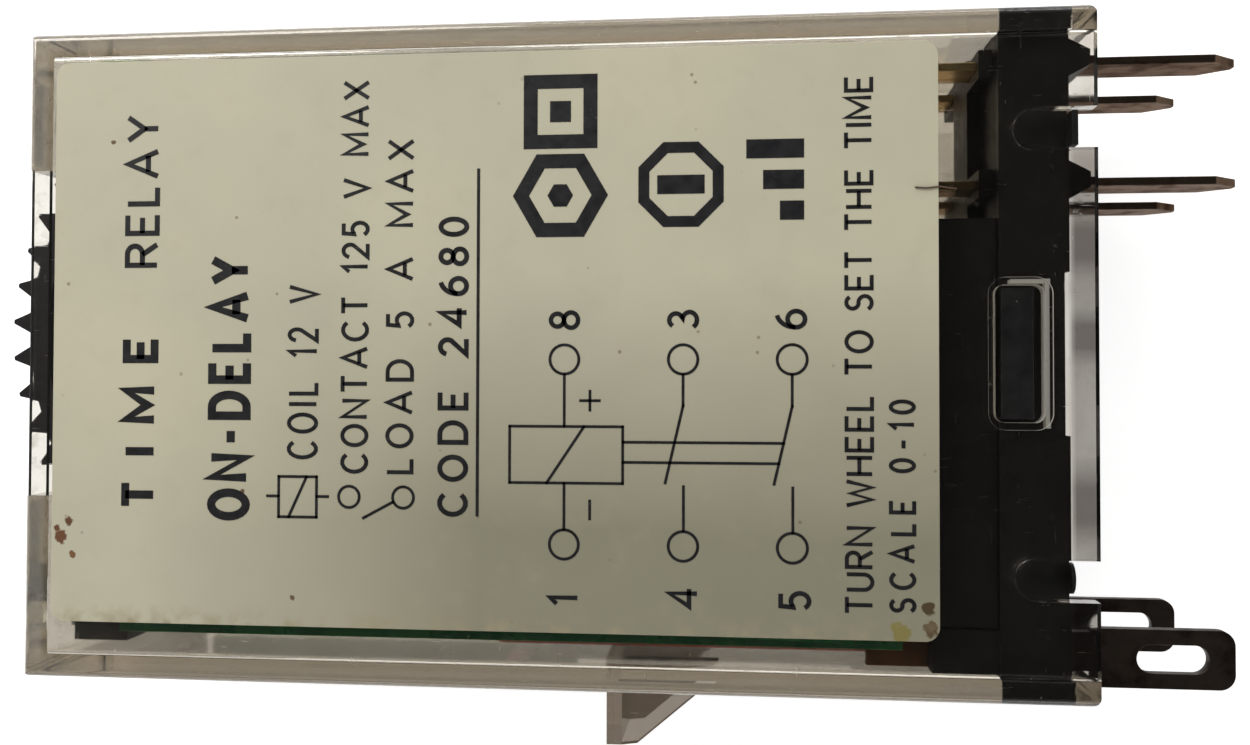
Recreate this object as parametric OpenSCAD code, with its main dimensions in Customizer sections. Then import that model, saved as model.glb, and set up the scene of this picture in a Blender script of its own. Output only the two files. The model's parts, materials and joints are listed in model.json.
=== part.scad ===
// Slim plug-in timer relay, lying on its back wide face.
// +X points out of the blades, +Y towards the contact blades, +Z out of the label.
// The origin is the centre of the rim plane that seats on the socket.

/* [Cover] */
// Length of the cover from the socket rim to the wheel end
cover_len = 46.4; // [46:0.1:48]
// Width of the cover
cover_w = 28.8; // [28.8:0.1:30]
// Thickness of the cover
cover_t = 12.8; // [12.8:0.1:13.4]
// Wall of the cover
wall = 0.9; // [0.8:0.05:0.95]
// Radius of the cover's outside edges
edge_r = 0.4; // [0.2:0.05:0.6]
// Height of the hold-down lug above the narrow side
lug_h = 3.2; // [2:0.1:3.5]

/* [Blades] */
// How far the contact blades stand out of the rim
contact_out = 6.25; // [5:0.05:6.4]
// How far the supply blades stand out of the rim
supply_out = 6.1; // [5:0.05:6.4]
// Thickness of the supply blades
blade_t = 0.5; // [0.4:0.05:0.55]
// Width of the supply blades
blade_w = 2.5; // [2.2:0.1:2.6]
// Thickness of the contact blades and their strips
contact_t = 0.35; // [0.3:0.05:0.5]
// Width of the contact blades
contact_w = 2.3; // [2.0:0.1:2.5]
// Distance between the near and the far row of blades
row_gap = 7.5; // [7.3:0.1:7.6]
// Place across the width of the outer contact blades
outer_y = 12.35; // [12.1:0.05:12.4]
// Distance between the two contact blades of one row
contact_pitch = 5.1; // [4.9:0.05:5.1]
// Distance from the supply blades to the outer contact blades
supply_span = 25.2; // [24.9:0.05:25.3]

/* [Time wheel] */
// Radius at the tips of the wheel's teeth
wheel_r = 12.3; // [12:0.05:12.4]
// Number of teeth
teeth = 45; // [40:1:50]
// Depth of the teeth
tooth_h = 0.95; // [0.6:0.05:1.1]
// How far the wheel stands out of the end wall
wheel_out = 2.0; // [1.7:0.05:2.1]
// Place of the wheel's centre across the width
wheel_y = 0.95; // [0.9:0.05:1.1]

/* [Relay] */
// Diameter of the iron core
core_d = 3.6; // [3:0.1:4]
// Gap between the pole and the armature at rest
pole_gap = 0.8; // [0.75:0.05:0.9]

/* [Hidden] */
$fn = 48;

// Small gaps: a fit within one body, and air between bodies
fit_gap = 0.03;
air = 0.05;

// Cover
half_w = cover_w / 2;
half_t = cover_t / 2;
in_w = half_w - wall;
in_t = half_t - wall;
skin = 0.25;
notch_y = 9.3;
notch_w = 1.7;
notch_len = 3.3;
window_x0 = -4.1;
window_x1 = -2.1;
window_half = 2.85;
window_r = 0.4;
bezel_w = 0.3;
bezel_depth = 0.15;
lug_x = -20.6;
lug_plate = 0.65;
lug_half = 2.6;
gusset_t = 0.7;
gusset_run = 4.4;
gusset_toe = 0.75;

// Label
label_x0 = -45.0;
label_x1 = -6.4;
label_y0 = -11.85;
label_y1 = 13.0;
label_t = 0.1;
label_r = 0.6;

// Base plate
base_x0 = -3.85;
base_x1 = -1.0;
boss_h = 0.9;
boss_root = 0.8;
boss_top = 0.32;
boss_half = 1.6;
guide_x0 = -6.6;

// Blades
row_z = row_gap / 2;
inner_y = outer_y - contact_pitch;
supply_y = outer_y - supply_span;
strip_z0 = 1.9;
strip_z1 = 4.2;
strip_z = (strip_z0 + strip_z1) / 2;

// Contact set
spring_t = 0.2;
spring_y = inner_y + contact_t / 2 + air;
spring_root_x = -7.4;
spring_end_x = -17.6;
contact_x = -16.2;
fixed_y = 10.25;
fixed_head = 0.8;
moving_head = 0.8;
shank_d = 1.0;

// Magnet
coil_y = -6.2;
pole_x = -19.3;
pole_t = 0.5;
pole_d = 5.6;
flange_t = 0.7;
foot_x0 = -6.2;
foot_x1 = -5.0;
yoke_t = 1.2;
yoke_y1 = 0.2;
yoke_half = 3.8;
arm_x1 = pole_x - pole_gap;
arm_t = 0.9;
arm_y0 = -9.6;
arm_y1 = 2.0;
arm_leg_t = 0.8;
arm_leg_x = -12.9;
bobbin_half = 4.15;
bobbin_y0 = -10.4;
winding_d = 8.1;
coil_pin_x = pole_x + pole_t + air + flange_t / 2;
coil_pin_y = [-9.6, -2.2];
coil_pin_d = 0.46;
card_x0 = -14.4;
card_x1 = -13.2;

// Boards
board_t = 0.8;
board_gap = 0.2;
control_z0 = in_t - board_gap - board_t;
control_z1 = in_t - board_gap;
power_z0 = -in_t + board_gap;
power_z1 = power_z0 + board_t;
board_x0 = -42.2;
control_x1 = -7.8;
power_x1 = -22.9;
board_y0 = -12.4;
board_y1 = 13.1;
pin_d = 0.6;
lead_tail = 0.12;
pin_hole_d = 0.7;
header_x = -24.4;
header_y0 = -11.2;
header_pitch = 1.27;
header_count = 4;

// Wheel and potentiometer
wheel_x = -cover_len - wheel_out + wheel_r;
wheel_z0 = -0.9;
wheel_z1 = 4.1;
tooth_z0 = 1.7;
scale_r = wheel_r - tooth_h - 0.15;
rim_r = 10.4;
web_t = 1.2;
hub_r = 2.9;
tooth_pitch = 360 / teeth;
tooth_tip = 0.4;
tooth_foot = 2.75;
tooth_turn = 1.2;
pot_r = 4.0;
pot_z0 = 1.3;
pot_wall = 0.5;
pot_floor = 0.6;
pot_lead_at = 3.2;
pot_lead_d = 0.48;
shaft_r = 1.6;
shaft_z0 = -1.25;
rotor_r = pot_r - pot_wall - 0.08;
rotor_z0 = 1.6;
rotor_t = 0.6;
flat_at = 1.2;

// Timer chip
ic_x = wheel_x;
ic_y = wheel_y - 7.15;
ic_half = 1.95;

// Range switches
dip_x0 = -45.3;
dip_x1 = -42.7;
dip_y0 = -13.2;
dip_y1 = -9.75;
dip_z0 = -5.0;
dip_z1 = 3.6;
dip_pitch = 1.95;
dip_first_z = -3.65;
dip_travel = 1.1;
slider_w = 0.85;
slider_len = 0.9;
slider_out = 0.75;
slot_len = slider_len + dip_travel + 0.1;
slot_depth = 0.7;
dip_mid_y = (dip_y0 + dip_y1) / 2;

// Indicator lamps
led_r = 0.85;
led_y = 12.5;
led_tip_x = -45.2;
led_back_x = -42.9;
led_z = [2.0, -2.6];
lead_d = 0.36;
lead_hole_d = 0.45;
led_bend_x = -41.9;
led_lead_y = [12.15, 12.7];

// ---------- helpers ----------

module box(x0, x1, y0, y1, z0, z1) {
    translate([x0, y0, z0]) cube([x1 - x0, y1 - y0, z1 - z0]);
}

module along_x(x0, x1) {
    translate([x0, 0, 0]) rotate([90, 0, 90]) linear_extrude(x1 - x0) children();
}

module along_y(y0, y1) {
    translate([0, y1, 0]) rotate([90, 0, 0]) linear_extrude(y1 - y0) children();
}

module along_z(z0, z1) {
    translate([0, 0, z0]) linear_extrude(z1 - z0) children();
}

module round_rect(x0, x1, y0, y1, r) {
    translate([x0 + r, y0]) square([x1 - x0 - 2 * r, y1 - y0]);
    translate([x0, y0 + r]) square([x1 - x0, y1 - y0 - 2 * r]);
    for (x = [x0 + r, x1 - r])
        for (y = [y0 + r, y1 - r])
            translate([x, y]) circle(r);
}

module rod_x(x0, x1, y, z, d) {
    translate([x0, y, z]) rotate([0, 90, 0]) cylinder(d = d, h = x1 - x0);
}

module rod_y(x, y0, y1, z, d) {
    translate([x, y1, z]) rotate([90, 0, 0]) cylinder(d = d, h = y1 - y0);
}

module rod_z(x, y, z0, z1, d) {
    translate([x, y, z0]) cylinder(d = d, h = z1 - z0);
}

module both_sides() {
    children();
    mirror([0, 0, 1]) children();
}

// ---------- case ----------

module cover_solid() {
    intersection() {
        along_z(-half_t, half_t) round_rect(-cover_len, 0, -half_w, half_w, edge_r);
        along_x(-cover_len, 0) round_rect(-half_w, half_w, -half_t, half_t, edge_r);
        along_y(-half_w, half_w) round_rect(-cover_len, 2 * edge_r, -half_t, half_t, edge_r);
    }
}

module lug() {
    box(lug_x, lug_x + lug_plate, -half_w - lug_h, -half_w, -lug_half, lug_half);
    both_sides()
        along_z(lug_half - gusset_t, lug_half)
            polygon([
                [lug_x + lug_plate, -half_w],
                [lug_x + lug_plate, -half_w - lug_h],
                [lug_x + lug_plate + gusset_toe, -half_w - lug_h + 0.1],
                [lug_x + lug_plate + gusset_run, -half_w]
            ]);
}

module rim_notch(y) {
    along_z(in_t - 0.5, half_t + 1)
        union() {
            translate([-notch_len + notch_w / 2, y - notch_w / 2]) square([notch_len + 1, notch_w]);
            translate([-notch_len + notch_w / 2, y]) circle(d = notch_w);
        }
}

module cover() {
    slot_half = 7.3;
    slot_flare = 1.4;
    bridge_t = 0.5;
    color("#8f8a76") {
        difference() {
            union() {
                cover_solid();
                lug();
            }
            along_x(-cover_len + wall, 1) round_rect(-in_w, in_w, -in_t, in_t, 0.3);
            // openings in both narrow sides for the ears of the base plate
            for (side = [0, 180])
                rotate([side, 0, 0])
                    box(base_x0 - air, base_x1 + air, in_w - 0.1, half_w + 1,
                        -half_t + skin, half_t - skin);
            // slot for the wheel, flared inwards so that the wheel's arc clears it
            along_z(wheel_z0 - 0.3, wheel_z1 + 0.3)
                polygon([
                    [-cover_len - 1, wheel_y - slot_half],
                    [-cover_len + 0.3, wheel_y - slot_half],
                    [-cover_len + wall + 0.4, wheel_y - slot_half - slot_flare],
                    [-cover_len + wall + 0.4, wheel_y + slot_half + slot_flare],
                    [-cover_len + 0.3, wheel_y + slot_half],
                    [-cover_len - 1, wheel_y + slot_half]
                ]);
            // only a thin bridge closes the slot towards the label
            box(-cover_len - 1, -cover_len + wall, wheel_y - slot_half, wheel_y + slot_half,
                wheel_z1, half_t - bridge_t);
            // the end wall steps back along the slot
            box(-cover_len - 1, -cover_len + 0.2, wheel_y - slot_half, wheel_y + slot_half,
                -half_t - 1, half_t + 1);
            // window for the range switches
            box(-cover_len - 1, -cover_len + wall + 1, dip_mid_y - slot_len / 2 - 0.15,
                dip_mid_y + slot_len / 2 + 0.15, dip_z0 + 0.7, dip_z1 - 0.7);
            both_sides() {
                rim_notch(notch_y);
                rim_notch(-notch_y);
                along_z(in_t - 0.5, half_t + 1)
                    round_rect(window_x0, window_x1, -window_half, window_half, window_r);
                along_z(half_t - bezel_depth, half_t + 1)
                    round_rect(window_x0 - bezel_w, window_x1 + bezel_w, -window_half - bezel_w,
                        window_half + bezel_w, window_r + bezel_w);
            }
        }
    }
}

module label() {
    color("#cbc6a8")
        along_z(half_t, half_t + label_t)
            round_rect(label_x0, label_x1, label_y0, label_y1, label_r);
}

module blade_boss(y) {
    along_z(row_z - boss_half, row_z + boss_half)
        polygon([
            [base_x1, y - boss_root],
            [base_x1 + boss_h, y - boss_top],
            [base_x1 + boss_h, y + boss_top],
            [base_x1, y + boss_root]
        ]);
}

module base_half() {
    // latch ramp in the snap window
    along_y(-window_half + 0.15, window_half - 0.15)
        polygon([
            [base_x0, in_t - 0.4],
            [base_x0, half_t - 0.25],
            [window_x1 - 0.45, half_t - 0.25],
            [window_x1 - 0.15, in_t - 0.4]
        ]);
    blade_boss(outer_y);
    blade_boss(inner_y);
    // supply blade guide, raised inside the case
    box(guide_x0, base_x0, -in_w + 0.15, supply_y + blade_w / 2 + 0.1, row_z - 1.1, in_t - 0.2);
    // coding key and bump that show in the rim notches
    box(base_x1, -0.75, notch_y - 0.72, notch_y + 0.72, in_t - 1.2, half_t - 0.1);
    rod_x(base_x1, -0.85, -notch_y, in_t - 0.2, 1.3);
}

module base() {
    depth = 1.4;
    color("#1c1c1d") {
        difference() {
            union() {
                along_x(base_x0, base_x1)
                    round_rect(-in_w + air, in_w - air, -in_t + air, in_t - air, 0.3);
                // ears that fill the openings in the cover's narrow sides
                for (side = [0, 180])
                    rotate([side, 0, 0])
                        box(base_x0, base_x1, in_w - air, half_w - air,
                            -half_t + skin + air, half_t - skin - air);
                both_sides() base_half();
            }
            // shallow middle step and moulding pockets in the underside
            box(base_x1 - 0.2, base_x1 + 1, -3.4, 3.4, -half_t, half_t);
            box(base_x1 - depth, base_x1 + 1, -8.0, -4.4, -3.6, 3.6);
            box(base_x1 - depth, base_x1 + 1, -2.2, 2.2, -3.2, 3.2);
            box(base_x1 - depth, base_x1 + 1, 3.9, 5.4, -3.6, 3.6);
            both_sides() {
                for (y = [outer_y, inner_y])
                    box(base_x0 - 1, 1, y - contact_t / 2 - fit_gap, y + contact_t / 2 + fit_gap,
                        row_z - contact_w / 2 - fit_gap, row_z + contact_w / 2 + fit_gap);
                // the contact strips are wider inwards behind the plate
                for (y = [outer_y, inner_y])
                    box(base_x0 - 1, base_x0 + 0.1, y - contact_t / 2 - fit_gap,
                        y + contact_t / 2 + fit_gap, strip_z0 - fit_gap, row_z);
                box(-7, 1, -in_w + 0.15 - fit_gap, supply_y + blade_w / 2 - 0.08,
                    row_z - blade_t / 2 - fit_gap, row_z + blade_t / 2 + fit_gap);
            }
        }
    }
}

module relay_base() {
    color("#202021") {
        difference() {
            union() {
                box(-7.3, base_x0 - air, supply_y + blade_w / 2 + 0.2, 5.7, -5.2, 5.2);
                // low rib behind the plate that carries the contact strips
                box(-4.5, base_x0 - air, 5.7, 13.2, -1.8, 1.8);
                both_sides()
                    for (y = [outer_y, inner_y])
                        box(-4.5, base_x0 - air, y - 0.6, y + 0.6, 1.7, 4.6);
            }
            // pocket for the yoke's foot and the coil's lower flange
            box(-8, foot_x1, -10.6, 0.6, -4.3, 4.3);
            // lightening pocket
            box(-8, -5.4, 1.6, 5.6, -4.2, 4.2);
            both_sides() {
                for (y = [outer_y, inner_y])
                    box(-8, -3, y - contact_t / 2 - fit_gap, y + contact_t / 2 + fit_gap,
                        strip_z0 - fit_gap, strip_z1 + fit_gap);
            }
        }
    }
}

// ---------- terminals and contacts ----------

module contact_blade(y) {
    taper = 1.1;
    tip_half = 0.2;
    along_y(y - contact_t / 2, y + contact_t / 2)
        polygon([
            [base_x0, row_z - contact_w / 2],
            [contact_out - taper, row_z - contact_w / 2],
            [contact_out, row_z - tip_half],
            [contact_out, row_z + tip_half],
            [contact_out - taper, row_z + contact_w / 2],
            [base_x0, row_z + contact_w / 2]
        ]);
}

// Outer terminal of the near row: blade, strip and the jog towards the moving contact
module outer_terminal() {
    jog_x0 = -8.6;
    jog_x1 = -10.8;
    end_x = -17.4;
    half = contact_t / 2;
    color("#8d8172")
        difference() {
            union() {
                contact_blade(outer_y);
                along_z(strip_z0, strip_z1)
                    polygon([
                        [base_x0, outer_y - half],
                        [jog_x0, outer_y - half],
                        [jog_x1, fixed_y - half],
                        [end_x, fixed_y - half],
                        [end_x, fixed_y + half],
                        [jog_x1, fixed_y + half],
                        [jog_x0, outer_y + half],
                        [base_x0, outer_y + half]
                    ]);
            }
            rod_y(contact_x, fixed_y - 1, fixed_y + 1, strip_z, shank_d);
        }
}

// Inner terminal of the near row: blade, strip and the riveted root of its spring
module inner_terminal() {
    rivet_x = -8.1;
    color("#8d8172") {
        contact_blade(inner_y);
        box(-9.6, base_x0, inner_y - contact_t / 2, inner_y + contact_t / 2, strip_z0, strip_z1);
    }
    color("#b98d4c") {
        box(-8.75, spring_root_x, inner_y + contact_t / 2, spring_y + spring_t, strip_z0, strip_z1);
        for (z = [strip_z0 + 0.6, strip_z1 - 0.6])
            rod_y(rivet_x, spring_y + spring_t - 0.01, spring_y + spring_t + 0.2, z, 0.7);
    }
}

// Supply terminal of the near row
module supply_terminal() {
    slot_x0 = 2.1;
    slot_x1 = 5.05;
    slot_w = 1.2;
    tip_r = 0.65;
    shoulder = 0.15;
    y0 = supply_y - blade_w / 2;
    y1 = supply_y + blade_w / 2;
    color("#6f655a")
        difference() {
            union() {
                along_z(row_z - blade_t / 2, row_z + blade_t / 2)
                    intersection() {
                        round_rect(shoulder - 2, supply_out, y0, y1, tip_r);
                        translate([shoulder, y0]) square([supply_out, blade_w]);
                    }
                box(-9.2, shoulder, -in_w + 0.15, y1 - 0.1, row_z - blade_t / 2, row_z + blade_t / 2);
            }
            along_z(row_z - 1, row_z + 1)
                round_rect(slot_x0, slot_x1, supply_y - slot_w / 2, supply_y + slot_w / 2,
                    slot_w / 2 - 0.001);
        }
}

module terminal_1() supply_terminal();
module terminal_8() mirror([0, 0, 1]) supply_terminal();
module terminal_3() inner_terminal();
module terminal_6() mirror([0, 0, 1]) inner_terminal();
module terminal_4() outer_terminal();
module terminal_5() mirror([0, 0, 1]) outer_terminal();

module fixed_contacts() {
    half = contact_t / 2;
    color("#d8c6a0")
        both_sides() {
            rod_y(contact_x, fixed_y - half - fixed_head, fixed_y - half, strip_z, 2.1);
            rod_y(contact_x, fixed_y - half, fixed_y + half, strip_z, shank_d - 0.04);
            rod_y(contact_x, fixed_y + half, fixed_y + half + 0.2, strip_z, 1.5);
        }
}

module contact_spring() {
    nose_r = 1.15;
    color("#c0894a")
        along_y(spring_y, spring_y + spring_t)
            difference() {
                union() {
                    translate([spring_end_x + nose_r, strip_z0])
                        square([-8.9 - spring_end_x - nose_r, strip_z1 - strip_z0]);
                    translate([spring_end_x + nose_r, strip_z]) circle(nose_r);
                }
                translate([contact_x, strip_z]) circle(d = shank_d);
                // slot that makes the leaf supple near its root
                translate([-12.6, strip_z - 0.3]) square([2.6, 0.6]);
            }
}

module moving_contact() {
    color("#d8c6a0") {
        rod_y(contact_x, spring_y + spring_t, spring_y + spring_t + moving_head, strip_z, 1.9);
        rod_y(contact_x, spring_y, spring_y + spring_t, strip_z, shank_d - 0.04);
        rod_y(contact_x, spring_y - 0.25, spring_y, strip_z, 1.4);
    }
}

module contact_spring_near() contact_spring();
module contact_spring_far() mirror([0, 0, 1]) contact_spring();
module moving_contact_near() moving_contact();
module moving_contact_far() mirror([0, 0, 1]) moving_contact();

module actuator_card() {
    color("#b9b4a6") {
        box(card_x0, card_x1, arm_y1 + 0.1, 5.6, -1.8, 1.8);
        box(card_x0, card_x1, 5.6, spring_y - 0.15, -4.0, 4.0);
    }
}

// ---------- magnet ----------

module bobbin() {
    y1 = yoke_y1 - yoke_t - 0.15;
    top_x = pole_x + pole_t + air;
    color("#3a3f45")
        difference() {
            union() {
                box(top_x, top_x + flange_t, bobbin_y0, y1, -bobbin_half, bobbin_half);
                box(foot_x0 - air - flange_t, foot_x0 - air, bobbin_y0, y1, -bobbin_half, bobbin_half);
                rod_x(top_x, foot_x0 - air, coil_y, 0, core_d + 1.0);
            }
            rod_x(top_x - 1, foot_x0 + 1, coil_y, 0, core_d + 0.04);
            for (y = coil_pin_y)
                rod_z(coil_pin_x, y, 3.2, 5, coil_pin_d + 0.04);
        }
}

module coil_winding() {
    x0 = pole_x + pole_t + flange_t + 2 * air;
    x1 = foot_x0 - flange_t - 2 * air;
    color("#a4552c")
        difference() {
            rod_x(x0, x1, coil_y, 0, winding_d);
            rod_x(x0 - 1, x1 + 1, coil_y, 0, core_d + 1.04);
        }
}

module coil_tape() {
    color("#c9a437")
        difference() {
            rod_x(-17.2, -8.2, coil_y, 0, winding_d + 0.18);
            rod_x(-18, -8, coil_y, 0, winding_d + 0.02);
        }
}

module core() {
    color("#8c8f92") {
        rod_x(pole_x, pole_x + pole_t, coil_y, 0, pole_d);
        rod_x(pole_x + pole_t, foot_x0, coil_y, 0, core_d);
        rod_x(foot_x0, foot_x1, coil_y, 0, 2.5);
    }
}

module yoke() {
    top_x = arm_x1 + air;
    color("#7d8184")
        difference() {
            along_z(-yoke_half, yoke_half)
                polygon([
                    [foot_x1, -10.2],
                    [foot_x1, yoke_y1],
                    [top_x, yoke_y1],
                    [top_x + 0.16, yoke_y1 - yoke_t],
                    [foot_x0, yoke_y1 - yoke_t],
                    [foot_x0, -10.2]
                ]);
            rod_x(foot_x0 - 1, foot_x1 + 1, coil_y, 0, 2.54);
        }
}

module armature() {
    color("#9a9da0")
        difference() {
            union() {
                box(arm_x1 - arm_t, arm_x1, arm_y0, arm_y1, -3.5, 3.5);
                box(arm_x1 - arm_t, arm_leg_x, arm_y1 - arm_leg_t, arm_y1, -2.6, 2.6);
            }
            box(arm_x1 - arm_t - 1, arm_x1 + 0.01, yoke_y1 - 0.12, yoke_y1 + 0.4, -1.6, 1.6);
        }
}

module return_spring() {
    y0 = yoke_y1 + air;
    y1 = y0 + 0.15;
    top = arm_x1 - arm_t - 0.4;
    color("#b7a06a") {
        box(top, -11.5, y0, y1, -1.3, 1.3);
        box(top, top + 0.15, -1.6, y0, -1.3, 1.3);
        rod_y(-12.6, y1, y1 + 0.2, 0, 1.2);
    }
}

module coil_pins() {
    color("#b8b3a4")
        for (y = coil_pin_y)
            rod_z(coil_pin_x, y, 3.25, control_z1 + lead_tail, coil_pin_d);
}

// ---------- boards ----------

module control_board() {
    color("#2f6b3f")
        difference() {
            box(board_x0, control_x1, board_y0, board_y1, control_z0, control_z1);
            header_holes(control_z0, control_z1);
            for (y = coil_pin_y)
                rod_z(coil_pin_x, y, control_z0 - 1, control_z1 + 1, pin_hole_d);
            for (a = [0, 120, 240])
                translate([wheel_x, wheel_y, 0]) rotate([0, 0, a])
                    rod_z(pot_lead_at, 0, control_z0 - 1, control_z1 + 1, pin_hole_d);
            for (y = led_lead_y)
                rod_z(led_bend_x, y, control_z0 - 1, control_z1 + 1, lead_hole_d);
        }
}

module header_holes(z0, z1) {
    for (i = [0 : header_count - 1])
        rod_z(header_x, header_y0 + i * header_pitch, z0 - 1, z1 + 1, pin_hole_d);
}

module power_board() {
    color("#2f6b3f")
        difference() {
            box(board_x0, power_x1, board_y0, board_y1, power_z0, power_z1);
            header_holes(power_z0, power_z1);
            for (y = led_lead_y)
                rod_z(led_bend_x, y, power_z0 - 1, power_z1 + 1, lead_hole_d);
        }
}

module board_pins() {
    x0 = header_x - 0.6;
    color("#c9b873")
        for (i = [0 : header_count - 1])
            rod_z(header_x, header_y0 + i * header_pitch,
                power_z0 - 0.1, control_z1 + lead_tail, pin_d);
    color("#1d1d1f")
        difference() {
            box(x0, x0 + 1.2,
                header_y0 - 0.6, header_y0 + (header_count - 1) * header_pitch + 0.6,
                power_z1, power_z1 + 1.6);
            for (i = [0 : header_count - 1])
                rod_z(header_x, header_y0 + i * header_pitch,
                    power_z1 - 1, power_z1 + 3, pin_d + 0.001);
        }
}

module solder_joints() {
    color("#c4c6c8") {
        for (i = [0 : header_count - 1])
            solder(header_x, header_y0 + i * header_pitch, pin_d);
        for (y = coil_pin_y)
            solder(coil_pin_x, y, coil_pin_d);
    }
}

module solder(x, y, d) {
    translate([x, y, control_z1])
        difference() {
            cylinder(d1 = 1.2, d2 = 0.8, h = 0.1);
            translate([0, 0, -1]) cylinder(d = d + 0.02, h = 3);
        }
}

// ---------- time setting ----------

module pot_body() {
    color("#2b4a78")
        translate([wheel_x, wheel_y, 0])
            difference() {
                rod_z(0, 0, pot_z0, control_z0, 2 * pot_r);
                rod_z(0, 0, pot_z0 - 1, control_z0 - pot_floor, 2 * (pot_r - pot_wall));
                for (a = [0, 120, 240])
                    rotate([0, 0, a])
                        rod_z(pot_lead_at, 0, control_z0 - pot_floor - 0.5, control_z0 + 1,
                            pot_lead_d + 0.04);
            }
}

module pot_track() {
    z1 = control_z0 - pot_floor;
    color("#191919")
        translate([wheel_x, wheel_y, 0])
            difference() {
                rod_z(0, 0, z1 - 0.15, z1, 5.2);
                rod_z(0, 0, z1 - 1, z1 + 1, 3.2);
                translate([1, -0.4, z1 - 0.5]) cube([3, 0.8, 1]);
            }
}

module pot_leads() {
    color("#b8b3a4")
        translate([wheel_x, wheel_y, 0])
            for (a = [0, 120, 240])
                rotate([0, 0, a])
                    rod_z(pot_lead_at, 0, control_z0 - pot_floor, control_z1 + lead_tail, pot_lead_d);
}

module d_outline(r) {
    intersection() {
        circle(r);
        translate([-5, -5]) square([5 + flat_at * r / shaft_r, 10]);
    }
}

module pot_rotor() {
    color("#e6e0cf")
        translate([wheel_x, wheel_y, 0])
            difference() {
                union() {
                    along_z(rotor_z0, rotor_z0 + rotor_t) circle(rotor_r);
                    along_z(shaft_z0, rotor_z0) d_outline(shaft_r);
                }
                // driver slot in the shaft's end
                translate([-2, -0.3, shaft_z0 - 1]) cube([4, 0.6, 1.5]);
            }
}

module pot_wiper() {
    z0 = rotor_z0 + rotor_t;
    z1 = control_z0 - pot_floor - 0.15 - air;
    color("#c39a4e")
        translate([wheel_x, wheel_y, 0]) {
            difference() {
                rod_z(0, 0, z0, z0 + 0.2, 4.4);
                rod_z(0, 0, z0 - 1, z0 + 1, 1.4);
            }
            for (y = [-0.9, 0.5])
                translate([-2.4, y, z0 + 0.2]) cube([0.4, 0.4, z1 - z0 - 0.2]);
            translate([-2.4, -0.9, z0]) cube([0.8, 1.8, 0.2]);
        }
}

module tooth_ring() {
    polygon([
        for (i = [0 : teeth - 1])
            for (p = [
                    [-tooth_foot, wheel_r - tooth_h],
                    [-tooth_tip, wheel_r],
                    [tooth_tip, wheel_r],
                    [tooth_foot, wheel_r - tooth_h]
                ])
                let (a = i * tooth_pitch + tooth_turn + p[0])
                    [p[1] * cos(a), p[1] * sin(a)]
    ]);
}

module time_wheel() {
    rib_z1 = 1.0;
    color("#191919")
        translate([wheel_x, wheel_y, 0])
            difference() {
                union() {
                    along_z(tooth_z0, wheel_z1) tooth_ring();
                    along_z(wheel_z0, tooth_z0) circle(scale_r);
                }
                // the cup that covers the potentiometer, around the ribs and the hub
                difference() {
                    rod_z(0, 0, wheel_z0 + web_t, wheel_z1 + 1, 2 * rim_r);
                    rod_z(0, 0, wheel_z0, rib_z1, 2 * hub_r);
                    for (a = [0 : 60 : 300])
                        rotate([0, 0, a + 30])
                            translate([0, -0.4, wheel_z0]) cube([rim_r + 0.5, 0.8, rib_z1 - wheel_z0]);
                }
                along_z(wheel_z0 - 1, wheel_z1 + 1) d_outline(shaft_r + fit_gap);
            }
}

// ---------- control electronics ----------

module timer_ic() {
    color("#1d1d1f")
        box(ic_x - 2.45, ic_x + 2.45, ic_y - ic_half, ic_y + ic_half,
            control_z0 - 1.55, control_z0 - 0.12);
}

module timer_ic_leads() {
    color("#b8b3a4")
        for (side = [-1, 1])
            for (i = [-1.5 : 1 : 1.5])
                translate([ic_x + i * 1.27, ic_y, 0])
                    along_x(-0.2, 0.2)
                        polygon([
                            [side * ic_half, control_z0 - 0.75],
                            [side * 2.55, control_z0 - 0.75],
                            [side * 2.75, control_z0 - 0.16],
                            [side * 3.1, control_z0 - 0.16],
                            [side * 3.1, control_z0],
                            [side * 2.6, control_z0],
                            [side * 2.4, control_z0 - 0.6],
                            [side * ic_half, control_z0 - 0.6]
                        ]);
}

module chip(x, y, length, width, height) {
    box(x - length / 2, x + length / 2, y - width / 2, y + width / 2, control_z0 - height, control_z0);
}

module chip_resistors() {
    color("#222224") {
        for (i = [0 : 3])
            chip(wheel_x - 4.5 + i * 3, wheel_y + 6.4, 1.9, 1.2, 0.5);
        for (i = [0 : 1])
            chip(-25.4 + i * 2.6, 11.2, 1.9, 1.2, 0.5);
    }
}

module chip_capacitors() {
    color("#b48b5a") {
        for (side = [-1, 1])
            chip(wheel_x + side * 6.4, wheel_y + side * 1.6, 1.9, 1.2, 0.9);
        chip(-24.8, 9.6, 1.9, 1.2, 0.9);
        chip(-21.6, -11.4, 1.2, 1.2, 0.9);
    }
}

// ---------- range switches and lamps at the end ----------

module dip_body() {
    color("#262628")
        difference() {
            box(dip_x0, dip_x1, dip_y0, dip_y1, dip_z0, dip_z1);
            for (i = [0 : 3])
                box(dip_x0 - 1, dip_x0 + slot_depth,
                    dip_mid_y - slot_len / 2, dip_mid_y + slot_len / 2,
                    dip_first_z + i * dip_pitch - slider_w / 2 - air,
                    dip_first_z + i * dip_pitch + slider_w / 2 + air);
        }
}

// A slider starts at the low end of its slot, or at the high end when it is set
module dip_slider(i, set) {
    z = dip_first_z + i * dip_pitch;
    low = dip_mid_y - slot_len / 2 + 0.05;
    y0 = set ? low + dip_travel : low;
    color("#e4e2da")
        box(dip_x0 - slider_out, dip_x0 + slot_depth - air, y0, y0 + slider_len,
            z - slider_w / 2, z + slider_w / 2);
}

module dip_slider_1() dip_slider(3, false);
module dip_slider_2() dip_slider(2, true);
module dip_slider_3() dip_slider(1, false);
module dip_slider_4() dip_slider(0, false);

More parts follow.
